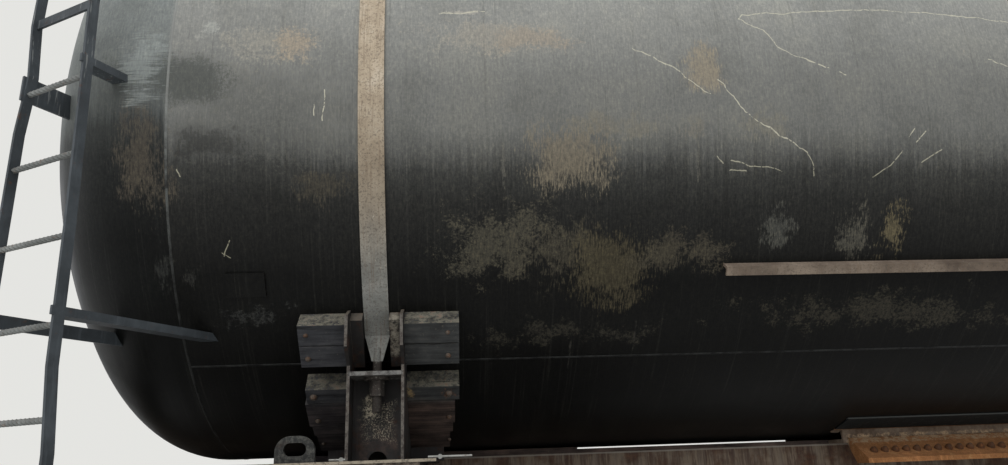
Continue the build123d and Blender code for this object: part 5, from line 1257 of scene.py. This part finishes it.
class TANKCAR_OT_stage(bpy.types.Operator):
    """Floor, backdrop, soft light and the camera"""
    bl_idname = "tankcar.stage"
    bl_label = "Studio"

    def execute(self, context):
        studio = context.scene.tank_car_studio
        self.floor(context, tuple(studio.floor_colour))
        self.world(context, tuple(studio.sky_colour))
        for lamp in LAMPS:
            self.lamp(context, *lamp)
        self.camera(context, studio)
        context.scene.view_settings.view_transform = "Standard"
        return {"FINISHED"}

    def floor(self, context, colour):
        shades = new_material("floor", 0.1)
        clouds = shades.ramp(shades.noise(3.0, 3.0, 0.5), ((0.3, shade(colour, 0.98)), (0.7, colour)))
        shades.feed(shades.surface["Base Color"], clouds)
        shades.feed(shades.surface["Roughness"], 0.9)
        bm = bmesh.new()
        bmesh.ops.create_grid(bm, x_segments=1, y_segments=1, size=FLOOR_HALF)
        mesh = bpy.data.meshes.new("floor")
        bm.to_mesh(mesh)
        bm.free()
        mesh.materials.append(bpy.data.materials["floor"])
        floor = bpy.data.objects.new("floor", mesh)
        context.scene.collection.objects.link(floor)

    def world(self, context, sky):
        """Soft even light, and one flat colour where the camera sees past the car."""
        world = bpy.data.worlds.new("studio")
        context.scene.world = world
        world.use_nodes = True
        shades = Shades(world.node_tree)
        seen = shades.output("LightPath", {}, "Is Camera Ray")
        lit = world.node_tree.nodes["Background"]
        shades.feed(lit.inputs["Color"], shades.blend(seen, (0.80, 0.81, 0.83), sky))

    def lamp(self, context, name, place, power):
        data = bpy.data.lights.new(name, "AREA")
        data.shape = "DISK"
        data.size = LAMP_ACROSS
        data.energy = power
        lamp = bpy.data.objects.new(name, data)
        aim = Vector((0, 0, LAMP_AIM_Z)) - Vector(place)
        lamp.matrix_world = Matrix.Translation(place) @ aim.to_track_quat("-Z", "Y").to_matrix().to_4x4()
        context.scene.collection.objects.link(lamp)

    def camera(self, context, studio):
        data = bpy.data.cameras.new("camera")
        data.lens = studio.lens
        data.sensor_width = 36.0
        data.clip_end = 1000.0
        ahead = Vector((math.sin(studio.yaw) * math.cos(studio.pitch),
                        math.cos(studio.yaw) * math.cos(studio.pitch), math.sin(studio.pitch)))
        level = Vector((math.cos(studio.yaw), -math.sin(studio.yaw), 0))
        above = level.cross(ahead)
        right = level * math.cos(studio.roll) + above * math.sin(studio.roll)
        top = above * math.cos(studio.roll) - level * math.sin(studio.roll)
        turn = Matrix((right, top, -ahead)).transposed().to_4x4()
        camera = bpy.data.objects.new("camera", data)
        camera.matrix_world = Matrix.Translation(studio.camera_place) @ turn
        context.scene.collection.objects.link(camera)
        context.scene.camera = camera


class TANKCAR_PT_panel(bpy.types.Panel):
    """Lists the sizes and the build steps of the tank car"""
    bl_idname = "TANKCAR_PT_panel"
    bl_label = "Tank Car"
    bl_space_type = "VIEW_3D"
    bl_region_type = "UI"
    bl_category = "Tank Car"

    def draw(self, context):
        for name in TankCarSettings.__annotations__:
            self.layout.prop(context.scene.tank_car, name)
        for name in StudioSettings.__annotations__:
            self.layout.prop(context.scene.tank_car_studio, name)
        for operator in OPERATORS:
            self.layout.operator(operator.bl_idname)


OPERATORS = (
    TANKCAR_OT_finishes, TANKCAR_OT_weld_seams, TANKCAR_OT_strap_rods, TANKCAR_OT_saddle_bolts,
    TANKCAR_OT_deck_pins, TANKCAR_OT_foot_rivets, TANKCAR_OT_ladder_rungs, TANKCAR_OT_springs,
    TANKCAR_OT_bogie_bolts, TANKCAR_OT_top_bolts, TANKCAR_OT_pipe_bolts, TANKCAR_OT_sill_packing,
    TANKCAR_OT_walkway_grating, TANKCAR_OT_stage,
)
CLASSES = (TankCarSettings, StudioSettings) + OPERATORS + (TANKCAR_PT_panel,)


def register():
    for cls in CLASSES:
        bpy.utils.register_class(cls)
    bpy.types.Scene.tank_car = bpy.props.PointerProperty(type=TankCarSettings)
    bpy.types.Scene.tank_car_studio = bpy.props.PointerProperty(type=StudioSettings)


def unregister():
    del bpy.types.Scene.tank_car_studio
    del bpy.types.Scene.tank_car
    for cls in reversed(CLASSES):
        bpy.utils.unregister_class(cls)


def main():
    """Build everything in order."""
    register()
    for operator in OPERATORS:
        group, name = operator.bl_idname.split(".")
        getattr(getattr(bpy.ops, group), name)()


if __name__ == "__main__":
    main()
